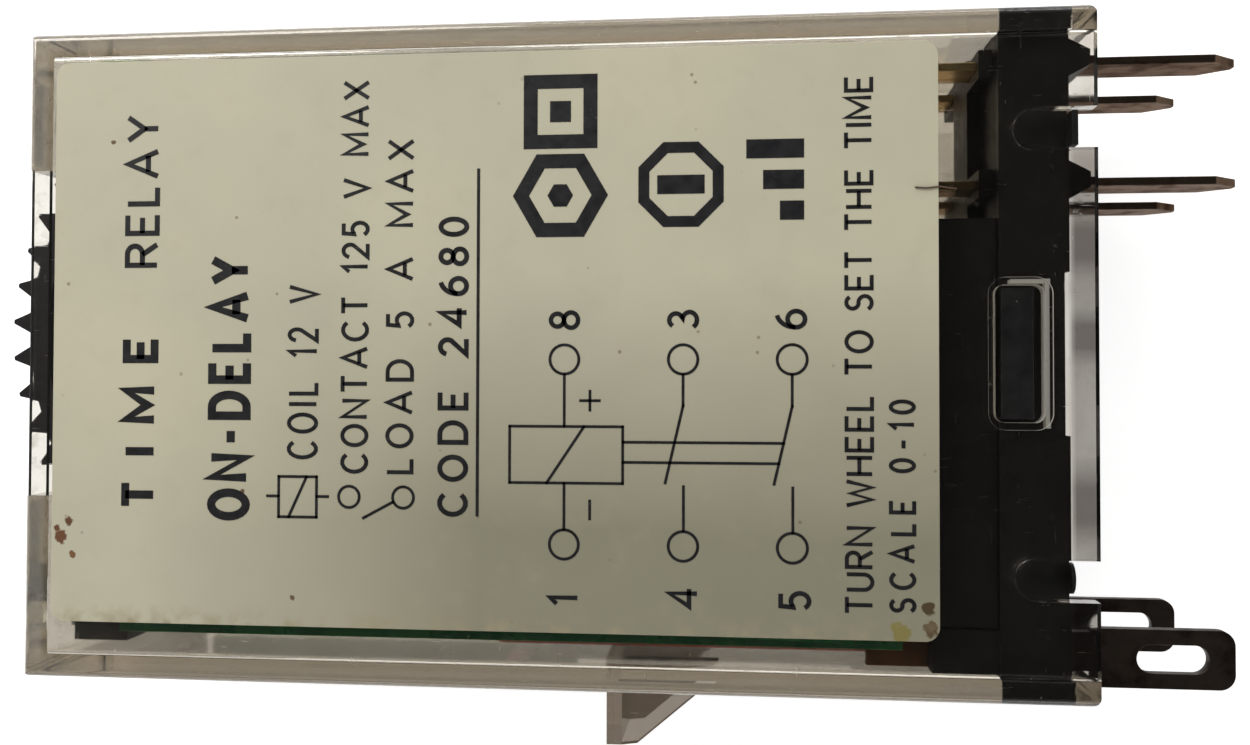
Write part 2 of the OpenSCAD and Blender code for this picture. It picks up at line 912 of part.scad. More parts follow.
module dip_leads() {
    color("#b8b3a4")
        for (i = [0 : 3])
            for (dy = [-1.1, -0.2])
                box(dip_x1, dip_x1 + 0.45, dip_mid_y + dy, dip_mid_y + dy + 0.3,
                    dip_first_z + i * dip_pitch - 0.15, dip_first_z + i * dip_pitch + 0.15);
}

module led(z) {
    translate([led_tip_x + led_r, led_y, z]) sphere(led_r);
    rod_x(led_tip_x + led_r, led_back_x, led_y, z, 2 * led_r);
}

module power_led() {
    color("#3d8f4a") led(led_z[0]);
}

module output_led() {
    color("#c4542a") led(led_z[1]);
}

// The power lamp's leads rise to the control board, the output lamp's drop to the power board
module led_leads() {
    color("#b8b3a4")
        for (i = [0, 1])
            for (y = led_lead_y) {
                rod_x(led_back_x, led_bend_x, y, led_z[i], lead_d);
                translate([led_bend_x, y, led_z[i]]) sphere(d = lead_d);
                rod_z(led_bend_x, y, i == 0 ? led_z[i] : power_z0 - lead_tail,
                    i == 0 ? control_z1 + lead_tail : led_z[i], lead_d);
            }
}

// ---------- power electronics ----------

module filter_capacitor() {
    color("#c7a046") box(-40.6, -33.4, -6.8, -2.5, power_z1, power_z1 + 2.7);
}

module rectifier() {
    color("#1d1d1f") box(-31.4, -26.6, -6.4, -2.4, power_z1 + 0.1, power_z1 + 2.4);
    color("#b8b3a4")
        for (x = [-30.3, -27.9])
            for (y = [-6.95, -2.4])
                box(x, x + 0.7, y, y + 0.55, power_z1, power_z1 + 0.3);
}

module dropper_resistors() {
    for (y = [5.0, 8.4])
        translate([0, 0, power_z1 + 1.25]) {
            color("#8fa6ad") rod_x(-38.6, -32.4, y, 0, 2.3);
            color("#b8b3a4") {
                rod_x(-40.0, -38.6, y, 0, 0.6);
                rod_x(-32.4, -31.0, y, 0, 0.6);
            }
        }
}

module drive_transistor() {
    color("#1d1d1f") box(-28.6, -25.7, 5.4, 6.7, power_z1 + 0.1, power_z1 + 1.1);
    color("#b8b3a4") {
        for (x = [-28.3, -26.4])
            box(x, x + 0.4, 4.9, 5.4, power_z1, power_z1 + 0.3);
        box(-27.35, -26.95, 6.7, 7.2, power_z1, power_z1 + 0.3);
    }
}

module supply_wires() {
    y = -12.5;
    d = 0.9;
    color("#8a2f28") wire(-25.2, y, row_z - blade_t / 2 - d / 2, d);
    color("#23324f") wire(-23.6, y, -row_z + blade_t / 2 + d / 2, d);
}

// One wire from a supply terminal to the power board
module wire(x0, y, z, d) {
    x1 = -8.0;
    rod_x(x0, x1, y, z, d);
    translate([x0, y, z]) sphere(d = d);
    rod_z(x0, y, power_z1, z, d);
}

cover();
label();
base();
relay_base();
terminal_1();
terminal_3();
terminal_4();
terminal_5();
terminal_6();
terminal_8();
fixed_contacts();
contact_spring_near();
contact_spring_far();
moving_contact_near();
moving_contact_far();
actuator_card();
bobbin();
coil_winding();
coil_tape();
core();
yoke();
armature();
return_spring();
coil_pins();
control_board();
power_board();
board_pins();
pot_body();
pot_track();
pot_leads();
pot_rotor();
pot_wiper();
time_wheel();
timer_ic();
timer_ic_leads();
chip_resistors();
chip_capacitors();
dip_body();
dip_slider_1();
dip_slider_2();
dip_slider_3();
dip_slider_4();
dip_leads();
power_led();
output_led();
led_leads();
filter_capacitor();
rectifier();
dropper_resistors();
drive_transistor();
supply_wires();
solder_joints();
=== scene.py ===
import json
import math

import bmesh
import bpy
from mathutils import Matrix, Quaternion, Vector


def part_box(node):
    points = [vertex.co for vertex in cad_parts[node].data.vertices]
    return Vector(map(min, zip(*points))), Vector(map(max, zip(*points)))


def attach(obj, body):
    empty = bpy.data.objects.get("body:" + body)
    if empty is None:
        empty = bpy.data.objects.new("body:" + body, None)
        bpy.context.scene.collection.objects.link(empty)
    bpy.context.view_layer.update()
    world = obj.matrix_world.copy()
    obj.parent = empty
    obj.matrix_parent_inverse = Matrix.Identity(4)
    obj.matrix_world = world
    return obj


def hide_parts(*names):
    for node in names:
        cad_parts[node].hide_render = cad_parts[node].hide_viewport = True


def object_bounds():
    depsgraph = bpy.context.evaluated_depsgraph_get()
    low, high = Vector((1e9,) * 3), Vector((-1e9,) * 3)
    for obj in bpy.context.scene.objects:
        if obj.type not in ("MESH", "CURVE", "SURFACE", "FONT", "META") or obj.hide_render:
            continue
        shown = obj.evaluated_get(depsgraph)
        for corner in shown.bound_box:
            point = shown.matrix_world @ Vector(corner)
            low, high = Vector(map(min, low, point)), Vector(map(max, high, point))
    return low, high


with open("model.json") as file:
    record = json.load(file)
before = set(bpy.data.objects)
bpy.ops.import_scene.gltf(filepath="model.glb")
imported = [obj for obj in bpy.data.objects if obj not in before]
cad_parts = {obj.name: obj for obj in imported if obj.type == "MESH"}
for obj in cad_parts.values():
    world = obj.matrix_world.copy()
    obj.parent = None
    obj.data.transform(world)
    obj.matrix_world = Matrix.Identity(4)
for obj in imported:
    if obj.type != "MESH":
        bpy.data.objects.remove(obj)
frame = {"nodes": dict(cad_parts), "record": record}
cad_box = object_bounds()
MM = 0.001
scene = bpy.context.scene


def lo_hi(node):
    a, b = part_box(node)
    return a / MM, b / MM


LABEL = lo_hi("label")
WHEEL = lo_hi("time_wheel")
POWER = lo_hi("power_board")
CONTROL = lo_hi("control_board")
WINDING = lo_hi("coil_winding")
INK_Z = (LABEL[1].z - 0.01, LABEL[1].z + 0.012)


# ---------- camera, light and floor ----------

def add_camera():
    cam = bpy.data.objects.new("camera", bpy.data.cameras.new("camera"))
    scene.collection.objects.link(cam)
    cam.data.sensor_width = 36
    cam.data.lens = 35.68
    cam.data.shift_x, cam.data.shift_y = 0.0098, -0.015
    cam.data.clip_start, cam.data.clip_end = 0.001, 10
    tilt = Vector((-0.022, -0.108, -0.001))
    cam.rotation_mode = "QUATERNION"
    cam.rotation_quaternion = Quaternion(tilt.normalized(), tilt.length).inverted()
    cam.location = (-14.27 * MM, -1.16 * MM, 58.69 * MM)
    scene.camera = cam


def add_area(name, place, target, size, power, colour=(1, 1, 1)):
    light = bpy.data.lights.new(name, "AREA")
    light.shape = "RECTANGLE"
    light.size, light.size_y = size
    light.energy = power
    light.color = colour
    obj = bpy.data.objects.new(name, light)
    obj.location = place
    obj.rotation_mode = "QUATERNION"
    obj.rotation_quaternion = (Vector(target) - Vector(place)).to_track_quat("-Z", "Y")
    scene.collection.objects.link(obj)


def add_lights():
    centre = (-0.023, 0, 0)
    add_area("key", (-0.13, 0.13, 0.12), (-0.030, 0.004, 0), (0.10, 0.08), 0.235, (1, 0.985, 0.95))
    add_area("fill", (0.24, -0.16, 0.15), centre, (0.16, 0.14), 0.12, (0.97, 0.985, 1))
    add_area("side", (-0.02, -0.26, 0.08), centre, (0.22, 0.06), 0.07, (1, 0.99, 0.97))
    add_area("back", (0.02, 0.27, 0.09), centre, (0.20, 0.07), 0.13, (1, 1, 1))
    world = bpy.data.worlds.new("studio")
    scene.world = world
    world.use_nodes = True
    nt = world.node_tree
    nt.nodes.clear()
    coord = nt.nodes.new("ShaderNodeTexCoord")
    split = nt.nodes.new("ShaderNodeSeparateXYZ")
    ramp = nt.nodes.new("ShaderNodeValToRGB")
    ramp.color_ramp.elements[0].position = 0.0
    ramp.color_ramp.elements[0].color = (0.85, 0.85, 0.84, 1)
    ramp.color_ramp.elements[1].position = 0.90
    ramp.color_ramp.elements[1].color = (0.035, 0.035, 0.035, 1)
    mid = ramp.color_ramp.elements.new(0.50)
    mid.color = (0.62, 0.62, 0.61, 1)
    back = nt.nodes.new("ShaderNodeBackground")
    out = nt.nodes.new("ShaderNodeOutputWorld")
    nt.links.new(coord.outputs["Generated"], split.inputs[0])
    nt.links.new(split.outputs["Z"], ramp.inputs[0])
    nt.links.new(ramp.outputs[0], back.inputs[0])
    nt.links.new(back.outputs[0], out.inputs[0])
    scene.view_settings.view_transform = "Standard"


def add_floor():
    z = cad_box[0].z
    size = 1.2
    bm = bmesh.new()
    corners = [bm.verts.new((x, y, z)) for x, y in
               ((-size, -size), (size, -size), (size, size), (-size, size))]
    bm.faces.new(corners)
    mesh = bpy.data.meshes.new("floor")
    bm.to_mesh(mesh)
    bm.free()
    floor = bpy.data.objects.new("floor", mesh)
    scene.collection.objects.link(floor)
    mat = bpy.data.materials.new("floor")
    mat.use_nodes = True
    nt = mat.node_tree
    shader = nt.nodes["Principled BSDF"]
    shader.inputs["Base Color"].default_value = (0.86, 0.86, 0.86, 1)
    shader.inputs["Roughness"].default_value = 0.9
    shader.inputs["Emission Color"].default_value = (1, 1, 1, 1)
    shader.inputs["Emission Strength"].default_value = 0.72
    # seen from below, the floor lets the underside of the part show
    clear = nt.nodes.new("ShaderNodeBsdfTransparent")
    side = nt.nodes.new("ShaderNodeNewGeometry")
    mix = nt.nodes.new("ShaderNodeMixShader")
    nt.links.new(side.outputs["Backfacing"], mix.inputs[0])
    nt.links.new(shader.outputs[0], mix.inputs[1])
    nt.links.new(clear.outputs[0], mix.inputs[2])
    nt.links.new(mix.outputs[0], nt.nodes["Material Output"].inputs[0])
    mesh.materials.append(mat)


# ---------- materials ----------

class Look:
    """A node material in the row frame: noise sizes are in millimetres."""

    def __init__(self, name):
        self.mat = bpy.data.materials.new(name)
        self.mat.use_nodes = True
        self.nt = self.mat.node_tree
        self.bsdf = self.nt.nodes["Principled BSDF"]
        self.coord = self.node("ShaderNodeTexCoord").outputs["Object"]
        self.split = None

    def node(self, kind, **sets):
        n = self.nt.nodes.new(kind)
        for k, v in sets.items():
            setattr(n, k, v)
        return n

    def link(self, a, b):
        self.nt.links.new(a, b)

    def put(self, socket, value):
        if isinstance(value, bpy.types.NodeSocket):
            self.link(value, socket)
        elif hasattr(value, "__len__") and len(value) == 3 and socket.type == "RGBA":
            socket.default_value = (*value, 1)
        else:
            socket.default_value = value

    def set(self, name, value):
        self.put(self.bsdf.inputs[name], value)

    def mapped(self, stretch, shift=(0, 0, 0)):
        m = self.node("ShaderNodeMapping")
        m.inputs["Scale"].default_value = stretch
        m.inputs["Location"].default_value = shift
        self.link(self.coord, m.inputs[0])
        return m.outputs[0]

    def noise(self, size, detail=3.0, stretch=(1, 1, 1), shift=0.0, rough=0.55):
        n = self.node("ShaderNodeTexNoise")
        n.inputs["Scale"].default_value = 1 / (size * MM)
        n.inputs["Detail"].default_value = detail
        n.inputs["Roughness"].default_value = rough
        self.link(self.mapped(stretch, (shift, shift * 0.7, -shift)), n.inputs["Vector"])
        return n.outputs[0]

    def cells(self, size, stretch=(1, 1, 1), feature="F1"):
        n = self.node("ShaderNodeTexVoronoi", feature=feature)
        n.inputs["Scale"].default_value = 1 / (size * MM)
        self.link(self.mapped(stretch), n.inputs["Vector"])
        return n.outputs["Distance"]

    def spread(self, value, a, b, lo=0.0, hi=1.0):
        n = self.node("ShaderNodeMapRange")
        n.clamp = True
        for k, v in zip(("From Min", "From Max", "To Min", "To Max"), (a, b, lo, hi)):
            n.inputs[k].default_value = v
        self.put(n.inputs["Value"], value)
        return n.outputs[0]

    def math(self, op, a, b=0.0, c=0.0):
        n = self.node("ShaderNodeMath", operation=op)
        for socket, v in zip(n.inputs, (a, b, c)):
            self.put(socket, v)
        return n.outputs[0]

    def mix(self, fac, a, b):
        n = self.node("ShaderNodeMix", data_type="RGBA")
        self.put(n.inputs[0], fac)
        self.put(n.inputs[6], a)
        self.put(n.inputs[7], b)
        return n.outputs[2]

    def blend(self, fac, a, b):
        n = self.node("ShaderNodeMix", data_type="FLOAT")
        self.put(n.inputs[0], fac)
        self.put(n.inputs[2], a)
        self.put(n.inputs[3], b)
        return n.outputs[0]

    def axis(self, letter):
        if self.split is None:
            self.split = self.node("ShaderNodeSeparateXYZ")
            self.link(self.coord, self.split.inputs[0])
        return self.split.outputs[letter]

    def ramp(self, letter, a, b):
        """Goes from 0 at a to 1 at b, in millimetres along one axis."""
        return self.spread(self.axis(letter), a * MM, b * MM)

    def all_of(self, *masks):
        """The product of masks and strengths."""
        result = masks[0]
        for mask in masks[1:]:
            result = self.math("MULTIPLY", result, mask)
        return result

    def tinge(self, base, colour, *masks):
        """The base with a colour laid over it where all the masks are."""
        return self.mix(self.all_of(*masks), base, colour)

    def within(self, **ranges):
        """1 inside the given millimetre ranges of X, Y and Z, 0 outside."""
        mask = None
        for letter, (a, b) in ranges.items():
            one = self.math("MULTIPLY", self.math("GREATER_THAN", self.axis(letter), a * MM),
                            self.math("LESS_THAN", self.axis(letter), b * MM))
            mask = one if mask is None else self.math("MULTIPLY", mask, one)
        return mask

    def near(self, x, y, z, radius, ragged=1.0):
        """Falls from 1 at a point to 0 at the radius, with a ragged edge."""
        gap = self.node("ShaderNodeVectorMath", operation="DISTANCE")
        self.link(self.coord, gap.inputs[0])
        gap.inputs[1].default_value = (x * MM, y * MM, z * MM)
        d = self.spread(gap.outputs["Value"], 0, radius * MM, 1, 0)
        n = self.math("SUBTRACT", self.noise(radius * 0.55, 5, shift=0.002), 0.5)
        return self.spread(self.math("ADD", d, self.math("MULTIPLY", n, ragged)), 0.42, 0.56)

    def edge(self, radius):
        """1 on convex and concave edges, 0 on open faces."""
        bevel = self.node("ShaderNodeBevel", samples=4)
        bevel.inputs["Radius"].default_value = radius * MM
        geo = self.node("ShaderNodeNewGeometry")
        dot = self.node("ShaderNodeVectorMath", operation="DOT_PRODUCT")
        self.link(bevel.outputs[0], dot.inputs[0])
        self.link(geo.outputs["Normal"], dot.inputs[1])
        return self.spread(dot.outputs["Value"], 0.995, 0.86)

    def bump(self, height, depth, strength=1.0, after=None):
        n = self.node("ShaderNodeBump")
        n.inputs["Distance"].default_value = depth * MM
        n.inputs["Strength"].default_value = strength
        self.link(height, n.inputs["Height"])
        if after is not None:
            self.link(after, n.inputs["Normal"])
        return n.outputs[0]


def plastic(name, colour, worn, rough=(0.38, 0.55), grain=0.12, depth=0.006, specks=0.0, spec=0.5,
            zones=(), edge=None, size=2.2, coat=0.0):
    """Moulded plastic: cloudy colour, fine spark-eroded grain, handling marks and specks of dust."""
    m = Look(name)
    cloud = m.noise(size, 4)
    base = m.mix(m.spread(cloud, 0.35, 0.68), colour, worn)
    r = m.spread(m.noise(size * 0.3, 4, shift=0.01), 0.3, 0.7, *rough)
    metal = None
    if specks:
        dust = m.spread(m.cells(0.42), 0.10, 0.05)
        keep = m.spread(m.noise(1.6, 2, shift=0.02), 0.54, 0.60)
        dust = m.all_of(dust, keep, specks)
        base = m.mix(dust, base, (0.34, 0.32, 0.28))
        r = m.blend(dust, r, 0.85)
    if edge:
        rub = m.math("MULTIPLY", m.edge(edge), m.spread(m.noise(0.5, 3), 0.42, 0.62))
        base = m.tinge(base, tuple(min(1, c * 3 + 0.03) for c in worn), rub, 0.5)
        r = m.blend(rub, r, 0.3)
    for ranges, z_colour, z_rough, z_metal in zones:
        mask = m.within(**ranges)
        base = m.mix(mask, base, z_colour)
        r = m.blend(mask, r, z_rough)
        metal = m.blend(mask, 0.0 if metal is None else metal, z_metal)
    m.set("Base Color", base)
    m.set("Roughness", r)
    if metal is not None:
        m.set("Metallic", metal)
    m.set("Specular IOR Level", spec)
    if coat:
        m.set("Coat Weight", coat)
        m.set("Coat Roughness", 0.12)
    fine = m.bump(m.noise(grain, 2, shift=0.03), depth, 0.7)
    m.set("Normal", m.bump(m.noise(size * 1.5, 2), depth * 4, 0.5, after=fine))
    return m.mat


def metal(name, colour, stain, rough=(0.24, 0.45), stretch=(1, 1, 1), size=0.9, stain_at=(0.45, 0.66),
          edge=None, zones=(), depth=0.004, grazing=(1, 1, 1)):
    """Sheet or wire metal: streaks, tarnish and rubbed edges. grazing tints the edge-on reflection."""
    m = Look(name)
    tarnish = m.spread(m.noise(size, 5, shift=0.004), *stain_at)
    streak = m.noise(0.22, 3, stretch=stretch, shift=0.006)
    base = m.mix(tarnish, m.mix(m.spread(streak, 0.3, 0.7), colour, tuple(c * 0.82 for c in colour)), stain)
    r = m.math("ADD", m.spread(streak, 0.25, 0.75, *rough), m.math("MULTIPLY", tarnish, 0.16))
    if edge:
        rub = m.math("MULTIPLY", m.edge(edge), m.spread(m.noise(0.6, 3), 0.35, 0.6))
        base = m.tinge(base, tuple(min(0.9, c * 1.5 + 0.08) for c in colour), rub, 0.8)
        r = m.blend(rub, r, 0.22)
    for ranges, z_colour, z_rough in zones:
        mask = m.within(**ranges)
        base = m.mix(mask, base, z_colour)
        r = m.blend(mask, r, z_rough)
    m.set("Base Color", base)
    m.set("Roughness", r)
    m.set("Metallic", 1.0)
    m.set("Specular Tint", grazing)
    pits = m.bump(m.noise(0.16, 3, shift=0.01), depth, 0.6)
    m.set("Normal", m.bump(streak, depth, 0.6, after=pits))
    return m.mat


# parts of the cover in millimetres: the window with its sunk border, and the wheel's slot
WINDOW = {"X": (-4.5, -1.75), "Y": (-3.25, 3.25)}
# the two strips of the sunk border that carry a painted highlight
BORDER_SIDE = {"X": (-2.10, -1.93), "Y": (-3.07, 3.07)}
BORDER_END = {"X": (-3.5, -1.93), "Y": (2.9, 3.07)}
SLOT = {"Y": (-6.36, 8.26)}
# where painted shade darkens the cover between the label and the base
OVER_OUTER_BLADES = {"X": (-8.0, -3.95), "Y": (5.6, 11.4)}
WALL_Z = 5.2


def cover_tint(m, film, dirt):
    """Smoke colour with dirt, grime at the wheel's end, and painted shade on the rim, the lower side, the lug
    and between the label and the base.
    """
    tint = m.mix(m.spread(film, 0.3, 0.7), (0.82, 0.80, 0.76), (0.75, 0.73, 0.68))
    tint = m.tinge(tint, (0.30, 0.24, 0.15), dirt, 0.45)
    # painted shade on the rim in noisy patches; grime worked into the wheel's end
    tint = m.tinge(tint, (0.30, 0.22, 0.15), m.ramp("X", -2.2, -0.4),
                   m.spread(m.noise(2.2, 4, shift=0.031), 0.42, 0.66), 0.35)
    tint = m.tinge(tint, (0.20, 0.14, 0.08), m.ramp("X", -45.2, -46.4),
                   m.spread(m.noise(0.8, 5, shift=0.017), 0.52, 0.66), 0.6)
    # painted shade: the lower side and the lug darkened
    tint = m.tinge(tint, (0.50, 0.46, 0.39), m.ramp("Y", -13.3, -13.6), 0.55)
    tint = m.tinge(tint, (0.33, 0.28, 0.235), m.ramp("Y", -14.42, -14.48), 0.85)
    # painted shade: soft dark bands along the rim
    painted_shade_bands = m.spread(m.noise(2.4, 3, shift=0.04), 0.35, 0.65, 0.0, 0.15)
    for middle, reach in ((4.5, 1.9), (0.7, 1.5), (-6.2, 2.2)):
        off = m.math("ABSOLUTE", m.math("SUBTRACT", m.axis("Y"), middle * MM))
        painted_shade_bands = m.math("MAXIMUM", painted_shade_bands, m.spread(off, reach * MM, reach * 0.3 * MM, 0.0, 0.42))
    tint = m.tinge(tint, (0.155, 0.138, 0.128), m.ramp("X", -1.12, -0.92), m.ramp("Y", 11.5, 6.5),
                   m.math("ADD", painted_shade_bands, 0.54))
    # painted shade between the label and the base
    return m.tinge(tint, (0.34, 0.29, 0.22), m.within(**OVER_OUTER_BLADES),
                   m.spread(m.noise(1.6, 4, shift=0.055), 0.36, 0.62, 0.72, 1.0), 0.62)


def cut_frost(m):
    """1 on the cut walls of the windows, which are frosted and partly a painted highlight, and less on the
    sunk border next to two of their sides, where it is a painted highlight.
    """
    geo = m.node("ShaderNodeNewGeometry")
    facing = m.node("ShaderNodeSeparateXYZ")
    m.link(geo.outputs["Normal"], facing.inputs[0])
    steep = m.math("LESS_THAN", m.math("ABSOLUTE", facing.outputs["Z"]), 0.8)
    border = m.math("MAXIMUM", m.within(**BORDER_SIDE), m.within(**BORDER_END))
    frost_and_highlight = m.math("MAXIMUM", m.all_of(m.within(**WINDOW), steep), m.all_of(border, 0.75))
    return m.all_of(frost_and_highlight, m.math("GREATER_THAN", m.math("ABSOLUTE", m.axis("Z")), WALL_Z * MM))


def wall_haze(m):
    """1 in the narrow sides and in the end wall, but not next to the wheel's slot."""
    sides = m.spread(m.math("ABSOLUTE", m.axis("Y")), 13.3 * MM, 13.7 * MM)
    haze = m.math("MAXIMUM", sides, m.ramp("X", -45.3, -45.6))
    return m.all_of(haze, m.math("LESS_THAN", m.axis("X"), -3.9 * MM),
                    m.math("SUBTRACT", 1.0, m.within(**SLOT)))


def clear_cover():
    """Smoky clear polycarbonate: the tint is in the body, with hairline scratches, dust and a greasy film,
    and painted shade and a painted highlight in its colour.
    """
    m = Look("clear_cover")
    film = m.noise(3.5, 4)
    hair = m.noise(0.10, 2, stretch=(0.06, 1, 1), shift=0.003)
    hair2 = m.noise(0.10, 2, stretch=(1, 0.05, 1), shift=0.008)
    scratch = m.math("MAXIMUM", m.spread(hair, 0.69, 0.74), m.spread(hair2, 0.70, 0.75))
    dirt = m.all_of(m.spread(m.noise(0.5, 5, shift=0.012), 0.62, 0.72),
                    m.spread(m.noise(5.0, 2, shift=0.02), 0.45, 0.65))
    frost_and_highlight = cut_frost(m)
    # painted highlight: the window border strips, like the frosted cut walls, get a paler colour and pass
    # less light
    m.set("Base Color", m.tinge(cover_tint(m, film, dirt), (0.60, 0.57, 0.52), frost_and_highlight, 0.8))
    m.set("IOR", 1.58)
    m.set("Transmission Weight", m.math("SUBTRACT", m.blend(frost_and_highlight, 1.0, 0.45), m.all_of(wall_haze(m), 0.16)))
    r = m.math("ADD", m.spread(film, 0.3, 0.7, 0.03, 0.09), m.all_of(scratch, 0.22))
    r = m.math("ADD", r, m.all_of(frost_and_highlight, 0.4))
    m.set("Roughness", m.math("ADD", r, m.all_of(dirt, 0.3)))
    m.set("Normal", m.bump(m.noise(4.0, 2, shift=0.03), 0.02, 0.5, after=m.bump(scratch, 0.0015, 0.8)))
    ray = m.node("ShaderNodeLightPath")
    clear = m.node("ShaderNodeBsdfTransparent")
    clear.inputs[0].default_value = (0.72, 0.70, 0.63, 1)
    mix = m.node("ShaderNodeMixShader")
    m.link(ray.outputs["Is Shadow Ray"], mix.inputs[0])
    m.link(m.bsdf.outputs[0], mix.inputs[1])
    m.link(clear.outputs[0], mix.inputs[2])
    m.link(mix.outputs[0], m.nt.nodes["Material Output"].inputs[0])
    # the smoke tint deepens with the length of the way through the wall
    smoke = m.node("ShaderNodeVolumeAbsorption")
    smoke.inputs["Color"].default_value = (0.42, 0.34, 0.20, 1)
    smoke.inputs["Density"].default_value = 160
    m.link(smoke.outputs[0], m.nt.nodes["Material Output"].inputs["Volume"])
    return m.mat


def label_paper():
    """Cream varnished sticker: paper fibre, yellowing, a painted shadow over the corner next to the supply
    blades, brown stains at two corners and scattered specks.
    """
    m = Look("label_paper")
    base = m.mix(m.spread(m.noise(9.0, 3), 0.35, 0.68), (0.650, 0.612, 0.452), (0.590, 0.560, 0.425))
    # painted shadow: the paper darkens towards the corner next to the supply blades, with a wavering edge
    shadow_edge_drift = m.math("MULTIPLY", m.math("SUBTRACT", m.noise(12.0, 2, shift=0.009), 0.5), 0.004)
    base = m.tinge(base, (0.235, 0.220, 0.155),
                   m.spread(m.math("ADD", m.axis("Y"), shadow_edge_drift), 3.5 * MM, -7.5 * MM),
                   m.spread(m.math("ADD", m.axis("X"), shadow_edge_drift), -41 * MM, -26 * MM), 0.80)
    blotch = m.spread(m.noise(1.3, 5, shift=0.005), 0.55, 0.75)
    base = m.tinge(base, (0.47, 0.43, 0.30), blotch, 0.16)
    base = m.tinge(base, (0.17, 0.12, 0.07), m.spread(m.cells(1.15), 0.085, 0.055),
                   m.spread(m.noise(2.4, 2, shift=0.011), 0.52, 0.58), 0.6)
    z = LABEL[1].z
    for x, y, r, c in ((-44.55, -8.1, 0.55, (0.17, 0.075, 0.035)), (-44.2, -7.4, 0.40, (0.15, 0.07, 0.035)),
                       (-44.0, -8.9, 0.30, (0.22, 0.11, 0.05)), (-6.85, -10.5, 0.50, (0.09, 0.06, 0.03)),
                       (-6.75, -11.35, 0.60, (0.12, 0.08, 0.04)), (-8.0, -11.5, 0.75, (0.27, 0.23, 0.08)),
                       (-44.75, -7.75, 0.30, (0.16, 0.07, 0.03)), (-36.2, -6.0, 0.22, (0.16, 0.10, 0.05)),
                       (-42.3, 9.4, 0.20, (0.17, 0.11, 0.06)), (-33.9, -10.6, 0.22, (0.16, 0.11, 0.06))):
        base = m.mix(m.near(x, y, z, r), base, c)
    rim = m.spread(m.math("SUBTRACT", m.axis("Y"), LABEL[0].y * MM), 0.0, 0.9 * MM, 1, 0)
    base = m.tinge(base, (0.40, 0.34, 0.22), rim, m.spread(m.noise(0.8, 4), 0.45, 0.7))
    m.set("Base Color", base)
    m.set("Roughness", m.spread(m.noise(2.0, 3), 0.3, 0.7, 0.42, 0.6))
    m.set("Specular IOR Level", 0.35)
    fibre = m.bump(m.noise(0.18, 3, stretch=(1, 0.35, 1)), 0.004, 0.8)
    m.set("Normal", m.bump(m.noise(7.0, 2), 0.05, 0.5, after=fibre))
    return m.mat


def ink(name, colour, worn=0.25, rough=0.45):
    m = Look(name)
    thin = m.spread(m.noise(0.25, 4), 0.62, 0.78)
    patch = m.spread(m.noise(2.0, 2, shift=0.01), 0.5, 0.7)
    base = m.tinge(colour, (0.42, 0.39, 0.30), thin, patch, worn)
    m.set("Base Color", base)
    m.set("Roughness", m.spread(m.noise(0.6, 3), 0.3, 0.7, rough - 0.08, rough + 0.12))
    m.set("Normal", m.bump(m.noise(0.12, 2), 0.002, 0.6))
    return m.mat


def circuit_board():
    """Green solder resist over copper, with a woven glass texture and bare laminate at the cut edges."""
    m = Look("board")
    weave = m.node("ShaderNodeTexWave", wave_type="BANDS", bands_direction="X")
    weave.inputs["Scale"].default_value = 1 / (0.9 * MM) / 6.28
    weave.inputs["Distortion"].default_value = 0.6
    m.link(m.coord, weave.inputs["Vector"])
    base = m.mix(m.spread(m.noise(1.6, 4), 0.3, 0.7), (0.020, 0.125, 0.055), (0.028, 0.165, 0.075))
    copper = m.spread(m.noise(2.6, 1, stretch=(1, 0.3, 1), shift=0.01), 0.50, 0.53)
    base = m.tinge(base, (0.045, 0.23, 0.085), copper, 0.5)
    cut = m.math("MAXIMUM", m.ramp("Y", 13.05, 13.09), m.ramp("Y", -12.35, -12.39))
    base = m.mix(cut, base, (0.16, 0.30, 0.13))
    m.set("Base Color", base)
    m.set("Roughness", m.spread(m.noise(0.7, 3), 0.3, 0.7, 0.22, 0.40))
    m.set("Coat Weight", 0.3)
    m.set("Coat Roughness", 0.15)
    m.set("Normal", m.bump(copper, 0.012, 0.8, after=m.bump(weave.outputs["Fac"], 0.002, 0.5)))
    return m.mat


def lamp(name, colour, deep):
    m = Look(name)
    m.set("Base Color", m.mix(m.spread(m.noise(0.6, 3), 0.3, 0.7), colour, deep))
    m.set("Transmission Weight", 0.75)
    m.set("IOR", 1.5)
    m.set("Roughness", m.spread(m.noise(0.3, 3), 0.3, 0.7, 0.06, 0.2))
    m.set("Normal", m.bump(m.noise(0.5, 2), 0.01, 0.5))
    return m.mat


def wires():
    m = Look("wire_jacket")
    mask = m.ramp("Z", -1.2, -1.1)
    base = m.mix(mask, (0.035, 0.075, 0.22), (0.33, 0.035, 0.028))
    base = m.tinge(base, (0.06, 0.04, 0.04), m.spread(m.noise(0.8, 4), 0.4, 0.7), 0.4)
    m.set("Base Color", base)
    m.set("Roughness", m.spread(m.noise(0.4, 3), 0.3, 0.7, 0.4, 0.6))
    m.set("Normal", m.bump(m.noise(0.3, 3, stretch=(0.2, 1, 1)), 0.006, 0.6))
    return m.mat


def copper_coil():
    m = Look("copper_wire")
    base = m.mix(m.spread(m.noise(1.4, 4), 0.3, 0.7), (0.46, 0.13, 0.045), (0.30, 0.075, 0.03))
    m.set("Base Color", base)
    m.set("Metallic", 0.75)
    m.set("Roughness", m.spread(m.noise(0.3, 3), 0.3, 0.7, 0.2, 0.38))
    m.set("Coat Weight", 0.6)
    m.set("Coat Roughness", 0.1)
    m.set("Normal", m.bump(m.noise(0.4, 2), 0.008, 0.6))
    return m.mat


